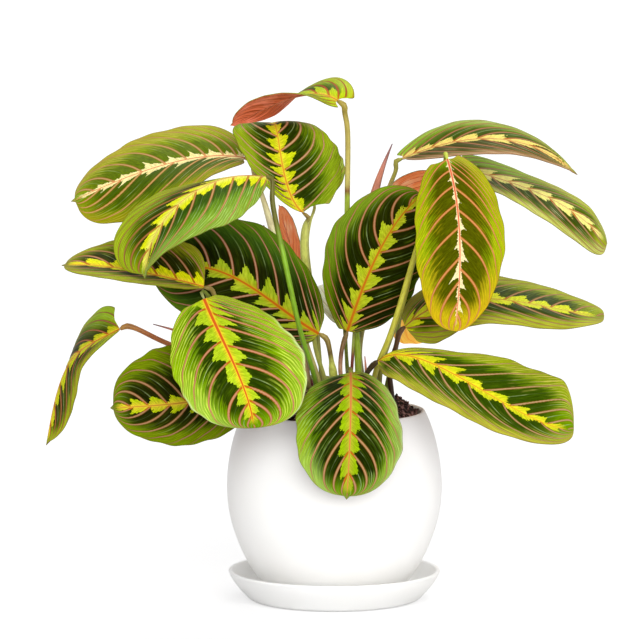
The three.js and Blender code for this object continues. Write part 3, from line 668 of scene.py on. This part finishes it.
def leaf(name, rib, face, left, right, below="wine", **more):
    """One blade as a pleated sheet with its unfolded maps, given its thickness and its keel."""
    blade = dict(face=face, left=left, right=right, **more)
    rib = MIDRIBS[name] = Midrib(rib)

    def place(across, along):
        s, u = (1 - np.cos(np.pi * along)) / 2, across * 2 - 1
        point, up, _, _ = blade_point(blade, rib, s, u)
        a = np.abs(u)
        swell = 0.5 - 0.5 * np.cos(2 * np.pi * vein_count(blade, s, u))
        calm = (smooth(0.02, 0.2, a) * (1 - smooth(0.85, 1, a))
                * smooth(0.02, 0.1, s) * (1 - smooth(0.85, 0.97, s)))
        return point + up * (PLEAT * swell * calm)[:, None]

    piece = sheet("blade_" + name, BLADE_COLUMNS, BLADE_ROWS, place)
    mesh = piece.data
    flat = np.empty(len(mesh.loops) * 2)
    mesh.uv_layers[0].data.foreach_get("uv", flat)
    across, along = flat[0::2], flat[1::2]
    s, u = (1 - np.cos(np.pi * along)) / 2, across * 2 - 1
    # A face's corner on the midrib belongs to the half that the face lies in
    middle = u.reshape(-1, 4).mean(1).repeat(4)
    tilt = np.where(np.abs(u) < 1e-4, np.sign(middle) * 1e-4, u)
    wide = blade_point(blade, rib, s, tilt)[3]
    a = np.abs(u)
    count = vein_count(blade, s, tilt)
    by_s = (vein_count(blade, s + 0.01, tilt) - count) / (0.01 * rib.length)
    by_a = (vein_count(blade, s, tilt * (1 - 0.01)) - count) / (0.01 * np.maximum(a * wide, 0.3))
    gap = 1 / np.maximum(np.hypot(by_s, by_a), 0.02)
    mesh.uv_layers[0].name = "surface"
    mesh.uv_layers.new(name="veins")
    mesh.uv_layers.new(name="gaps")
    maps = {"surface": (across, s), "veins": (count, a * wide), "gaps": (gap, (1 - a) * wide)}
    for layer, pair in maps.items():
        mesh.uv_layers[layer].data.foreach_set("uv", np.stack(pair, 1).ravel())
    for side in ("left", "right"):
        look = {**LEAF_LOOK, **blade.get("look", {}), **blade.get("look_" + side, {})}
        mesh.materials.append(maranta_leaf(f"maranta_leaf_{name}_{side}", look))
    for _ in ("left", "right"):
        mesh.materials.append(UNDERSIDES[below])
    mesh.polygons.foreach_set("material_index", (middle[::4] > 0).astype(np.int32))
    close_up(0.002 * MM, outwards=False)
    body = piece.modifiers.new("thickness", "SOLIDIFY")
    body.thickness, body.offset, body.material_offset = BLADE_THICKNESS * MM, 0, 2
    bpy.ops.object.modifier_apply(modifier=body.name)
    bpy.ops.object.shade_smooth_by_angle(angle=math.radians(60))
    piece = joined([piece, keel(name, blade, rib, KEELS[below])])
    settle(piece, "leaf_" + name)


# Each leaf: four points in mm along its midrib, from the base; the way its upper side faces;
# its left and right half, seen from above with the tip ahead; and its looks
leaf("upper_left", [(-63, 15, 307), (-101, 5, 307), (-142, -7, 296), (-182, -9, 279)],
     (-.3, -.6, .75), half(37.5, 1.45, .35, (23, -11), (-10, -20), .02),
     half(38, .85, .35, (8, -1), (-5, -20), -.02),
     veins=([.05, .2, .39, .58, .7, .82], [.04, .11, .21, .32, .44, .58, .74, .86],
         (.41, .14, .06, .05), (.06, .19, .12, .13)),
     look=tones(lines=("#C8B048", .3), lime=("#F4E8A4", "#DECB7C"), flesh=("#B99256", "#9A5A1C"),
         rib=("#C85A34", "#F0D894", 1.2), teeth=STRIP, valley=2.5, band_vein="#D0824A", seconds=.3,
         even=.4),
     look_left=tones(ground=("#7A8A04", "#98940E"), blotches=("#3E5401", "#567003", .66)),
     look_right=tones(ground=("#869A0C", "#9CA21C"), lines=("#C4B850", .5),
         blotches=("#566A04", "#6A7E02"), vein="#B28E5A", vein_width=2, vein_end=.5,
         washes=(("#B89C34", .4, 0, .5, .5, 1),)))
leaf("arching_left", [(-47, -38, 299), (-86, -63, 296), (-117, -73, 271), (-129, -77, 233)],
     (.05, -.3, .95), half(40, .95, .85, (-29, 32), (-13, -10), .02),
     half(36.5, 2.4, .35, (-33, 12), (-21, -17), .01), face_tip=(-.55, -.75, .45),
     veins=([.02, .115, .21, .32, .44, .56, .68, .8], [.05, .12, .2, .3, .42, .56, .7, .84],
         (.11, .14, .39, .45), (.5, .05, -.1, .2)),
     look=tones(lime=("#E2E416", "#BCC812"), lobes=(3.5, 7.5), rib=("#D88A48", "#EFE480", 1.1),
         band_vein="#C8842C"),
     # The near half's wash is painted sheen, a pale green highlight
     look_left=tones(ground=("#668E0C", "#7E9A1C"), blotches=("#2C4A04", "#4A700A", .42),
         vein="#B78C5A", streak="#A8CC70", washes=(("#9CC050", .25, .15, .4, .45, .8),)),
     look_right=tones(ground=("#84980A", "#9CAC10"), blotches=("#2C3A02", "#5C7205"),
         flesh=("#A06A3D", "#6A4A12")))
leaf("low_left_flat", [(-90, -38, 223), (-119, -45, 231), (-154, -50, 238), (-187, -48, 239)],
     (-.25, -.35, .9), half(30, 1.15, .45, (16, 22), (-12, -21), -.02),
     half(36, .6, .4, (41, 4), (-8, -15), 0),
     veins=([.06, .19, .33, .48, .64, .8], [.06, .19, .33, .48, .64, .8], (.18, .22, .2, .2),
         (.18, .22, .2, .2)),
     look=tones(ground=("#7E8404", "#9C9C1C"), blotches=("#1E2401", "#525A04", .6),
         lime=("#E6E80C", "#BCC40C"), lobes=(5, 5.5), flesh=("#B2835C", "#8A4A20")))
leaf("dark_middle", [(-11, -8, 187), (-47, -16, 213), (-83, -21, 233), (-130, -15, 231)],
     (0, -.95, .35), half(42, 1.3, .45, (8, 10), (-20, -13), .01),
     half(44, 1.05, .4, (-5, -1), (-15, -18), .01),
     veins=([.02, .13, .24, .37, .53, .68, .82], [0, .125, .25, .39, .536, .665, .8],
         (.27, .28, .17, .03), (.29, .13, -.24, -.02)),
     look=tones(ground=("#466604", "#5E7A04"), lines=("#6E8A0C", .3),
         blotches=("#0C1402", "#2C4202", .75), lime=("#A8B828", "#7C9C05"), lobes=(1.5, 11),
         flesh=("#AB7E62", "#6E3612"), rib=("#B85C14", "#B89A18", 2), band_vein="#B06A18",
         # The wash is painted sheen, a green highlight painted over the outer part of the blade
         seconds=.35, washes=(("#4E7A20", .4, .1, .4, .3, .8),)))
leaf("edge_left", [(-148, -25, 192), (-173, -27, 179), (-188, -27, 159), (-199, -30, 112)],
     (-.6, .05, .8), half(24, 1.1, .6, (-5, -39), (-11, -10), 0),
     half(38, .5, .6, (51, -60), (-17, -14), .07), face_tip=(-.8, -.1, .6),
     look=tones(ground=("#90A40C", "#A0A41C"), blotches=("#262C01", "#5E6805", .7),
         lime=("#CCD014", "#A0AC0C"), flesh=("#A46641", "#5A2C0A"), valley=3, streaks=.3,
         midrib="#C8601C", washes=(("#A4C828", .85, .3, .05, .1, .7),)))
leaf("front_left", [(-89, -66, 218), (-76, -84, 192), (-62, -98, 162), (-55, -95, 133)],
     (0, -.95, .3), half(46.5, 1.5, .35, (7, 7), (-22, -22), .02),
     half(41, 1, .35, (-7, 10), (-7, -21), .02), point=False,
     veins=([.01, .1, .21, .38, .52, .69, .79, .88], [.077, .21, .34, .494, .691, .808, .9],
         (.36, .17, -.06, .03), (-.07, .3, .37, .31)),
     look=tones(ground=("#6C9400", "#8EB408"), lines=("#C8DC4C", .8),
         blotches=("#1C3201", "#486402"), lime=("#B4CC24", "#92B40C"), flesh=("#BB8362", "#9A5220"),
         rib=("#CC5A20", "#E8C42A", 2.3), tooth=9),
     # The washes on both halves are painted sheen: pale highlights over the halves and along their
     # margins
     look_left=tones(washes=(("#B0D058", .2, .3, .7, .6, .95), ("#E4F0BC", .5, .2, .5, .94, .99))),
     look_right=tones(washes=(("#B8DC78", .28, .4, .8, .5, .95),
         ("#E4F0BC", .5, .5, .7, .95, .99))))
leaf("lower_left", [(-62, -45, 156), (-90, -52, 147), (-124, -54, 143), (-154, -52, 141)],
     (-.2, -.95, .25), half(29.5, .85, .45, (8, -1), (-22, -13), -.01),
     half(40.5, .95, .35, (5, 16), (-10, -15), .02),
     look=tones(ground=("#587005", "#6E8402"), lines=("#8C9C18", .35),
         blotches=("#0E1402", "#344402", .56), lime=("#B4C410", "#8CA005"), lobes=(2, 8),
         flesh=("#9D7452", "#5E3410"), midrib="#B8882A", midrib_width=1.8))
leaf("upper_middle", [(-22, -6, 271), (-34, 0, 294), (-39, 7, 321), (-44, 29, 330)],
     (.15, -.9, .45), half(30.5, 2.6, .4, (5, 12), (-17, -13), 0),
     half(43.5, .75, .4, (-8, 7), (-9, -21), .1),
     veins=([.06, .14, .217, .28, .35, .44, .56, .7, .84], [.01, .176, .288, .403, .571, .732, .86],
         (.02, .2, .23, .1), (.03, .31, .37, .3)),
     look=tones(ground=("#6C8A08", "#8CA416"), lines=("#A0B030", .5),
         blotches=("#1C2C02", "#426004", .55), lime=("#C8D014", "#A4B408"), lobes=(1.5, 10),
         flesh=("#B68E68", "#7E4C1C"), rib=("#D08C28", "#E4D038")))
leaf("top_twisted", [(2, 0, 348), (-20, 4, 352), (-45, 3, 344), (-72, 0, 331)], (-.35, -.55, .8),
     half(25.5, .95, .5, (31, 7), (-11, -10), .08),
     half(33.5, .55, 1.15, (-3, -7), (-11, -19), .13), face_tip=(-.35, .6, .7), below="rust",
     look=tones(ground=("#98AE0C", "#B0BC1A"), lime=("#B8CC0C", "#9CB008"), lobes=(6, 8),
         flesh=("#9D4B1D", "#8A3A10"), streaks=.3, blotch="#3E5005", reach=.45, midrib="#C07828"))
leaf("centre", [(9, -10, 189), (22, -18, 226), (39, -19, 260), (62, -8, 285)], (.1, -1, .1),
     half(36, 1.05, .55, (-10, 4), (-31, -9), .03), half(34, .8, .5, (-2, 14), (-13, -18), -.02),
     veins=([.035, .145, .28, .426, .563, .713, .864], [.025, .12, .262, .4, .53, .67, .82],
         (.15, .26, .11, .35), (.23, .06, -.03, .09)),
     look=tones(ground=("#4E6A04", "#6E8A04"), lines=("#84A01C", .4),
         blotches=("#121A00", "#2C4002", .62), lime=("#B8C428", "#94A80C"), lobes=(2, 8),
         flesh=("#AB7856", "#6E3810"), rib=("#C06A18", "#B8A41C", 2)),
     # The left wash is painted sheen, a light green highlight
     look_left=tones(washes=(("#8CA840", .2, .15, .5, .5, .95),)),
     look_right=tones(ground=("#2C4003", "#527004"), reach=.95))
leaf("front_hanging", [(11, -48, 165), (11, -85, 150), (10, -99, 118), (8, -94, 84)],
     (0, -.95, .25), half(36, 1.45, .45, (7, 5), (-17, -24), .06),
     half(37.5, 1.15, .35, (-7, 8), (-15, -18), .06),
     veins=([.02, .12, .218, .33, .43, .567, .685, .82], [.065, .193, .304, .41, .55, .683, .82],
         (.17, .23, .19, .05), (.14, .03, .52, .37)),
     look=tones(ground=("#6A9008", "#8CA818"), blotches=("#101E01", "#385603", .64),
         lime=("#94B40C", "#7E9E02"), lobes=(4.6, 5.5), flesh=("#AE835C", "#7A4A1C"),
         rib=("#CC7A40", "#C0A838", 1.7), streak="#9CC050"),
     # The washes on both halves are painted sheen: pale highlights, the palest along the left
     # margin
     look_left=tones(washes=(("#A8BC80", .25, .02, .2, .7, .95),
         ("#C8D8A8", .4, .1, .3, .95, .99))),
     look_right=tones(washes=(("#B0D070", .4, .6, .88, .45, .85),)))
leaf("right_hanging", [(77, -48, 312), (84, -71, 276), (85, -75, 236), (82, -71, 196)], (0, -1, .2),
     half(31.5, .95, .5, (0, -3), (-19, -23), .04), half(31, .95, .35, (1, -1), (-26, -20), .03),
     point=False,
     veins=([.01, .08, .19, .32, .47, .645, .783, .9],
         [0, .08, .18, .287, .417, .584, .716, .835, .93], (.25, .23, -.07, -.14),
         (.03, .24, .4, -.24)),
     look=tones(ground=("#749804", "#9CB00C"), lines=("#D8C01C", .5),
         blotches=("#484C00", "#606803", .58), lime=("#F4E8B4", "#EADFA0"), lobes=(.9, 6.5),
         flesh=("#C88850", "#A8501C"), rib=("#D86444", "#F0CC98", 1.3), teeth=STRIP,
         band_vein="#DC8C50", seconds=0, washes=(("#D8A818", .6, .55, .85, .4, .9),
         ("#D4B414", .75, .8, .94, -1, 0)), vein_width=1.7, even=.3, taper=((0, .35), (.14, .4),
         (.3, .95), (.7, .9), (.9, .5), (1, .1))))
leaf("upper_right", [(47, -1, 308), (90, -15, 322), (130, -19, 320), (167, -25, 299)],
     (.2, -.55, .8), half(23.5, .65, .85, (9, -9), (-10, -11), .07),
     half(24, .7, .85, (25, 12), (-10, -20), -.02),
     look=tones(ground=("#8C8A20", "#B0A44C"), blotches=("#54500A", "#747020", .6),
         lime=("#F0DE74", "#D8C458"), lobes=(2.5, 4.5), flesh=("#A4714E", "#7A4418"),
         rib=("#B8643C", "#E8C870", 1.2), streaks=.3, even=.4),
     look_left=tones(ground=("#86A028", "#9CAC58"), blotches=("#384C08", "#5E7414"),
         washes=(("#98C030", .85, .3, .05, .1, .7),)),
     look_right=tones(ground=("#8E8030", "#C89878"), lines=("#C8A880", .6),
         blotches=("#3A3E04", "#66601A", .8)))
leaf("second_right", [(86, -3, 303), (122, -21, 293), (156, -45, 280), (187, -41, 253)],
     (.5, -.65, .55), half(21.5, .7, .35, (6, -8), (-18, -11), .03, tip=.28),
     half(24.5, 1.05, .35, (17, 1), (-7, -8), -.01, tip=.25), point=False,
     look=tones(ground=("#8A9C04", "#A8AC28"), blotches=("#3E4E02", "#5E7600", .55),
         lime=("#F0EA84", "#D4CC5C"), lobes=(3, 5.5), flesh=("#A47F5A", "#7E5A24"),
         rib=("#BA7E4C", "#E8D880", 1.2), streak="#D0CC7C"),
     look_left=tones(ground=("#94AE0C", "#B0BC38"), blotch="#465C00",
         washes=(("#9CCC34", .85, .5, .15, .1, .7),)),
     look_right=tones(ground=("#9CA40C", "#B8C040"), lines=("#D8CC9C", .8), blotch="#2E3C00",
         reach=.68))
leaf("middle_right", [(49, -16, 193), (91, -26, 213), (139, -33, 210), (186, -36, 202)],
     (.05, -.45, .9), half(32, .7, .35, (4, -2), (-6, -10), .03, tip=.3),
     half(28.5, .65, .45, (-26, 17), (-6, -13), .01, tip=.28, wave=3), point=False, waves=1.5,
     phase=-2.67,
     veins=([.04, .13, .24, .366, .515, .63, .737, .85], [.05, .16, .28, .41, .55, .69, .82],
         (.23, .19, -.17, -.15), (.31, .26, .03, 0)),
     look=tones(ground=("#86980A", "#A8A822"), lines=("#BCB848", .5),
         blotches=("#2C3C00", "#5A7000", .52), lime=("#DCE41C", "#BCC818"), lobes=(3, 6),
         flesh=("#A77E52", "#7E4E1C"), rib=("#C08030", "#D8D040", 1.2)),
     look_left=tones(ground=("#94A40C", "#A8B01C"), blotch="#2A3C02"),
     look_right=tones(ground=("#98A810", "#B8BC2C"), blotch="#2A3C02"))
leaf("lower_right", [(30, -40, 172), (69, -62, 172), (119, -70, 145), (164, -73, 129)],
     (.1, -.8, .6), half(37, 2.6, .5, (4, 9), (-12, -14), .02, tip=.28, wave=2.5),
     half(27, .8, .5, (4, 13), (-4, -10), -.01, tip=.35), point=False, waves=2.5, phase=-1.9,
     veins=([.05, .134, .295, .403, .547, .684, .771, .87],
         [0, .1, .217, .323, .473, .65, .842, .93], (.22, .09, .13, .03), (.13, .19, .04, .64)),
     look=tones(ground=("#6E9200", "#98A418"), lines=("#C0B850", .7),
         blotches=("#2C4402", "#446003", .6), lime=("#CCD41C", "#AABE08"),
         flesh=("#AE8E64", "#8C5020"), rib=("#D48C24", "#F0D82A", 1.2), valley=1.4, vein_width=1.5),
     look_right=tones(ground=("#809A18", "#B0AC2C"), reach=.66))
leaf("back_upright", [(-24, 30, 212), (-28, 40, 232), (-33, 50, 251), (-39, 58, 270)],
     (.93, .3, .2), half(24, curl=(-12, -12)), half(24, curl=(-12, -12)), below="coral")
leaf("back_right", [(37, 22, 284), (52, 42, 282), (67, 62, 271), (85, 80, 253)], (-.2, .75, .62),
     half(26, fold=(5, 5), curl=(-15, -15)), half(27, fold=(5, 5), curl=(-15, -15)), below="coral")
leaf("back_low_right", [(48, 4, 196), (63, 24, 191), (83, 48, 191), (103, 70, 195)],
     (-.1, .75, .66), half(27, fold=(5, 5), curl=(-12, -12), lobe=0),
     half(26, fold=(5, 5), curl=(-12, -12), lobe=0), below="amber")
leaf("back_left", [(-24, 44, 190), (-54, 64, 210), (-84, 84, 216), (-110, 102, 204)],
     (-.1, .3, .95), half(28), half(28))
leaf("back_centre", [(8, 44, 188), (12, 72, 208), (18, 102, 208), (24, 126, 186)], (0, .2, 1),
     half(26), half(27),
     # The near-white tones are painted light: the blade's upper side shown washed out by the bright
     # light on it
     look=tones(ground=("#F0F2D4", "#FAFAE8"), blotches=("#DCE0A8", "#E4E8BC"),
         lime=("#E8ECB4", "#DCE09C"), flesh=("#D6CFB4", "#D8D090"), seconds=0))
leaf("back_hanging", [(0, 44, 146), (-2, 74, 144), (-6, 98, 124), (-8, 104, 88)], (0, .5, .9),
     half(28), half(28), face_tip=(0, .95, .3),
     look=tones(ground=("#A0B058", "#B0C070"), blotches=("#4E5A0C", "#7A8A2C")))
leaf("back_top", [(-14, 26, 275), (-18, 54, 298), (-26, 80, 306), (-36, 100, 296)], (-.1, -.1, 1),
     half(26), half(26), face_tip=(-.1, .4, .9),
     look=tones(ground=("#667403", "#788A04"), blotches=("#4E5E02", "#5C6C02"), seconds=0))


# ------------------------ stalks
# Leaf stalks: green to brown petioles with a swollen joint below the blade, thicker further
# down where they are wrapped in their own sheath. Each stands in the soil.
STALK_SIDES = 12
STALK_STEP = 2.5
STALK_DEPTH = 14
JOINT_LENGTH = 6
STRAIGHT_RISE = 7
STALK_TONES = [(0.0, "#8A6A2C"), (0.2, "#8FA03C"), (0.6, "#7E8F34"), (1.0, "#4A4A1C")]


def stem(points, foot):
    """A smooth line through points into the soil at its foot, with its tight corners rounded,
    as a living stem grows."""
    ground = soil_height(*foot)
    points = [*points, (*foot, ground + STRAIGHT_RISE), (*foot, ground - STALK_DEPTH)]
    p = [np.array(q, float) for q in points]
    p = [2 * p[0] - p[1]] + p + [2 * p[-1] - p[-2]]
    line = []
    for a, b, c, d in zip(p, p[1:], p[2:], p[3:]):
        gap = [max(np.linalg.norm(v) ** 0.5, 1e-4) for v in (b - a, c - b, d - c)]
        leave = ((b - a) / gap[0] - (c - a) / (gap[0] + gap[1]) + (c - b) / gap[1]) * gap[1]
        reach = ((c - b) / gap[1] - (d - b) / (gap[1] + gap[2]) + (d - c) / gap[2]) * gap[1]
        t = np.linspace(0, 1, 24, endpoint=False)[:, None]
        line.append(b + t * leave + t ** 2 * (3 * (c - b) - 2 * leave - reach)
                    + t ** 3 * (2 * (b - c) + leave + reach))
    line = np.concatenate(line + [p[-2][None]])
    for _ in range(60):
        line[1:-1] = (line[:-2] + 2 * line[1:-1] + line[2:]) / 4
    return Line(line)


def wrap_round(name, run, radius, sides, skin):
    """A grid rolled into a tube along a run, closed at both ends, with its own map."""
    rows = max(int(run.length / STALK_STEP), 6)

    def place(across, along):
        s = np.clip((along * rows - 1) / (rows - 2), 0, 1)
        way = unit(run.at(np.minimum(s + 0.01, 1)) - run.at(np.maximum(s - 0.01, 0)))
        one = unit(np.cross(way, np.array([0.05, 1, 0.02])))
        two = np.cross(way, one)
        r = np.where(np.abs(along - 0.5) > 0.5 - 0.5 / rows, 0, radius(s, across))
        angle = across * 2 * np.pi
        return run.at(s) + one * (r * np.cos(angle))[:, None] + two * (r * np.sin(angle))[:, None]

    piece = sheet(name, sides, rows, place)
    piece.data.uv_layers[0].name = "surface"
    piece.data.materials.append(skin)
    return weld(piece)


def stalk(name, points, foot, petiole, sheath, sheath_from, neck=1, low=1, colours=STALK_TONES):
    """A stalk from its blade through points to its foot. Its radius in mm as petiole and as
    sheath, the share of its length where the sheath starts, and how slim neck and lower end are."""
    rib, start = MIDRIBS[name], np.zeros(1)
    base, way = rib.at(start)[0], rib.along(start)[0]
    run = stem([base - way * 0.2, base - way * JOINT_LENGTH, *points], foot)

    def radius(s, across):
        down = s * run.length
        swell = 0.35 * np.exp(-((down - 6) / 4) ** 2)
        r = petiole + (sheath - petiole) * smooth(sheath_from - 0.05, sheath_from + 0.1, s)
        slim = neck + (1 - neck) * smooth(8, 20, down)
        slim = slim * (1 - (1 - low) * smooth(0.5, 0.68, s))
        return (r + swell) * slim * (0.55 + 0.45 * smooth(0, 3.5, down))

    skin = stalk_skin("petiole_skin_" + name, colours)
    settle(wrap_round("petiole_" + name, run, radius, STALK_SIDES, skin),
           "stalk_" + name)


stalk("upper_left", [(-56, 10, 297), (-50, 9, 281), (-41, 10, 250), (-31, 11, 215), (-19, 6, 177)],
      (-10, 2), 1.72, 2.55, .2, low=.6, colours=[(0, "#C07850"), (.1, "#D8C888"), (.3, "#F0E8B4"),
      (.6, "#D0C870"), (1, "#8A8434")])
stalk("arching_left", [(-43, -38, 284), (-39, -40, 263), (-34, -43, 241), (-29, -42, 217),
      (-23, -36, 190), (-16, -28, 167)], (-12, -19), 1.806, 1.716, .5, neck=.75,
      colours=[(0, "#6E6A20"), (.2, "#6A6A1C"), (.32, "#86B424"), (.75, "#7CA81E"), (1, "#60742C")])
stalk("low_left_flat", [(-81, -47, 215), (-61, -54, 199), (-41, -48, 181), (-22, -38, 160)],
      (-14, -32), 1.72, 2.028, .6, neck=.85, colours=[(0, "#9A8440"), (.3, "#8A7A3C"),
      (1, "#5A5A24")])
stalk("dark_middle", [(-4, -8, 179), (-1, -7, 160)], (0, -6), 1.72, 2.944, .4,
      colours=[(0, "#B09A48"), (.3, "#6E5A24"), (.42, "#CCD45C"), (1, "#A8B040")])
stalk("edge_left", [(-117, -20, 182), (-79, -16, 168), (-45, -16, 154)], (-27, -14), 1.806, 2.184,
      .6, colours=[(0, "#A8803C"), (.15, "#B06A38"), (.5, "#A0683C"), (1, "#6A5028")])
stalk("front_left", [(-89, -60, 223), (-80, -54, 207), (-65, -56, 182), (-37, -48, 157)],
      (-22, -40), 1.806, 2.028, .6, neck=.55, colours=[(0, "#B8BC78"), (.06, "#6E7A24"),
      (.4, "#7E8A34"), (1, "#4A5420")])
stalk("lower_left", [(-48, -43, 155), (-35, -38, 150)], (-31, -32), 1.72, 2.028, .5,
      colours=[(0, "#6E7A2C"), (1, "#3A4418")])
stalk("upper_middle", [(-20, -2, 263), (-21, 6, 244), (-19, 15, 220), (-16, 20, 197),
      (-13, 18, 172)], (-6, 13), 1.634, 2.852, .08, neck=.8, low=.55, colours=[(0, "#A8842C"),
      (.05, "#8A7434"), (.08, "#D8DC74"), (.55, "#CCD45C"), (1, "#8A8C3C")])
stalk("top_twisted", [(7, 1, 340), (9, 2, 330), (9, 5, 288), (9, 8, 257), (12, 11, 215),
      (16, 12, 176)], (17, 9), 1.858, 2.106, .36, low=1.15, colours=[(0, "#A8943C"),
      (.08, "#B0A04C"), (.28, "#CCC068"), (.3, "#8A5A2C"), (.32, "#A8C03C"), (.6, "#A8C830"),
      (.85, "#A0BC2C"), (1, "#7A7A2C")])
stalk("centre", [(5, -11, 176), (4, -12, 161)], (6, -13), 1.514, 1.498, .5, colours=[(0, "#7A6A34"),
      (.3, "#7A5030"), (.42, "#B88C68"), (1, "#6A4E2C")])
stalk("front_hanging", [(10, -38, 166), (9, -28, 157)], (8, -26), 1.806, 1.95, .5,
      colours=[(0, "#8A8A38"), (1, "#4A4A1C")])
stalk("right_hanging", [(76, -38, 309), (68, -34, 286), (54, -33, 241), (45, -33, 210),
      (37, -30, 185), (29, -24, 165)], (26, -21), 1.892, 1.872, .5, neck=.7,
      colours=[(0, "#C8D850"), (.06, "#BCC040"), (.5, "#D0CC44"), (.85, "#B8B440"), (1, "#70702C")])
stalk("upper_right", [(43, 2, 301), (37, 7, 285), (30, 16, 243), (23, 21, 200), (18, 21, 172)],
      (20, 18), 1.462, 2.023, .12, low=.6, colours=[(0, "#9A9A40"), (.1, "#A8A048"),
      (.2, "#E8C8A0"), (.45, "#C8BC70"), (1, "#7A7A3C")])
stalk("second_right", [(77, -8, 297), (69, -18, 278), (55, -24, 241), (47, -24, 209),
      (38, -21, 184), (32, -15, 164)], (31, -12), 1.634, 1.794, .5, colours=[(0, "#B0B83C"),
      (.5, "#B4B044"), (1, "#6A6A2C")])
stalk("middle_right", [(43, -14, 180), (38, -11, 163)], (40, -8), 1.72, 1.872, .5,
      colours=[(0, "#6A4A2C"), (.5, "#4E3420"), (1, "#2A2014")])
stalk("lower_right", [(25, -36, 167), (20, -32, 158)], (18, -32), 1.72, 1.794, .5,
      colours=[(0, "#4A3A1C"), (.5, "#2A2016"), (1, "#1E1812")])
stalk("back_upright", [(-21, 28, 193), (-18, 24, 168)], (-19, 23), 1.118, 1.268, .4)
stalk("back_right", [(31, 28, 259), (23, 32, 216), (17, 31, 178)], (21, 28), 1.238, 1.348, .4)
stalk("back_low_right", [(44, 0, 184), (41, 4, 167)], (36, 5), 1.72, 1.872, .4)
stalk("back_left", [(-22, 41, 178), (-24, 33, 162)], (-28, 20), 1.204, 1.365, .4)
stalk("back_centre", [(8, 41, 176), (9, 34, 158)], (10, 24), 1.29, 1.463, .4)
stalk("back_hanging", [(-1, 41, 148.5)], (-2, 35), 1.204, 1.256, .3)
stalk("back_top", [(-17, 21, 262), (-19, 20, 248), (-17, 24, 226), (-14, 27, 205), (-11, 27, 175)],
      (-9, 23), 1.238, 1.404, .4, neck=.7, colours=[(0, "#C8C868"), (.1, "#D0D468"),
      (1, "#8A8C3C")])


# ------------------------ shoots
# Young leaves still rolled up: slim spikes with the loose edge of the roll winding down them,
# with a pink skin that is greener towards the soil. Each comes out of the soil by itself.
SHOOT_SIDES = 20
SHOOT_TONES = [(0.0, "#6A5A6A"), (0.12, "#D88A70"), (0.3, "#E0A084"), (1.0, "#7A7A3A")]


def shoot(name, points, foot, widest, widest_at, root, colours=SHOOT_TONES):
    """A rolled leaf, widest in mm of radius at a share of its length, then down to its root."""

    def rolled(s, across):
        swell = np.interp(s, [0, widest_at, widest_at + 0.25, 1], [0.35, widest, root, root])
        return swell * (0.86 + 0.14 * across)

    skin = stalk_skin("shoot_skin_" + name, colours)
    settle(wrap_round("rolled_" + name, stem(points, foot), rolled, SHOOT_SIDES, skin),
           name)


shoot("shoot_tall", [(40, 3, 318), (34, 5, 303), (28, 8, 284), (19, 11, 236), (14, 5, 191),
      (12, 1, 160)], (11, -1), 3.48, .22, 1.15, colours=[(0, "#6A5A6A"), (.12, "#D88A70"),
      (.3, "#E0A084"), (.5, "#C8B860"), (.74, "#98A838"), (.78, "#7A3018"), (1, "#5A2414")])
shoot("shoot_left", [(-125, -28, 196), (-110, -22, 191), (-79, -12, 178), (-45, -8, 162)],
      (-27, -3), 2, .35, 2)
shoot("shoot_short", [(21, -14, 172), (22, -12, 159)], (22, -6), 1.5, .4, 1.8)
shoot("shoot_hidden", [(-49, 6, 261), (-43, 14, 243), (-34, 19, 214), (-24, 15, 183)], (-18, 9),
      2.2, .3, 2.2)


# ------------------------ stage
# A plain white table and backdrop, soft studio light, and a long lens a little above the pot.
SURROUND_LIGHT = 0.52
TABLE_SIZE = 60
CAMERA_PLACE = (-0.010, -3.970, 0.683)
CAMERA_AIM = (-0.010, 0, 0.1955)
LENS, SENSOR = 324.2, 36
deselect()
bpy.ops.mesh.primitive_plane_add(size=TABLE_SIZE)
table = bpy.context.object
table.name = "table"
white = Finish("white_table")
seen = white.add("LightPath")
white.add("OutputMaterial", {"Surface": white.add("BsdfPrincipled", {
    "Base Color": white.over(seen, "#E6E6E6", "#B4B4B4"),
    "Roughness": 0.9, "Specular IOR Level": 0.1, "Emission Color": "#FFFFFF",
    "Emission Strength": white.both(seen, 0.6),
})})
table.data.materials.append(white.material)

world = bpy.data.worlds.new("white_surround")
world.use_nodes = True
world.node_tree.nodes.clear()
seen = add(world.node_tree, "LightPath")
power = add(world.node_tree, "MapRange", {0: seen, 3: SURROUND_LIGHT, 4: 1.1})
surround = add(world.node_tree, "Background", {0: "#FFFFFF", 1: power})
add(world.node_tree, "OutputWorld", {"Surface": surround})
bpy.context.scene.world = world


def soft_light(name, towards, spread, power):
    """Even light from one side of the room, as wide in degrees as spread."""
    light = bpy.data.objects.new(name, bpy.data.lights.new(name, "SUN"))
    bpy.context.scene.collection.objects.link(light)
    light.data.angle, light.data.energy = math.radians(spread), power
    light.location = towards
    light.rotation_euler = Vector(towards).to_track_quat("Z", "Y").to_euler()


soft_light("key_front", (0.8, -3.1, 1.35), 50, 2.1)
soft_light("fill_left", (-1.4, -3.0, 0.3), 60, 0.6)
soft_light("top_back", (0.4, 1.2, 2.4), 40, 1.1)

camera = bpy.data.objects.new("camera", bpy.data.cameras.new("camera"))
bpy.context.scene.collection.objects.link(camera)
camera.location = CAMERA_PLACE
aim = Vector(CAMERA_AIM) - Vector(CAMERA_PLACE)
camera.rotation_euler = aim.to_track_quat("-Z", "Y").to_euler()
camera.data.lens, camera.data.sensor_width = LENS, SENSOR
bpy.context.scene.camera = camera
bpy.context.scene.view_settings.view_transform = "Standard"

bpy.context.view_layer.update()
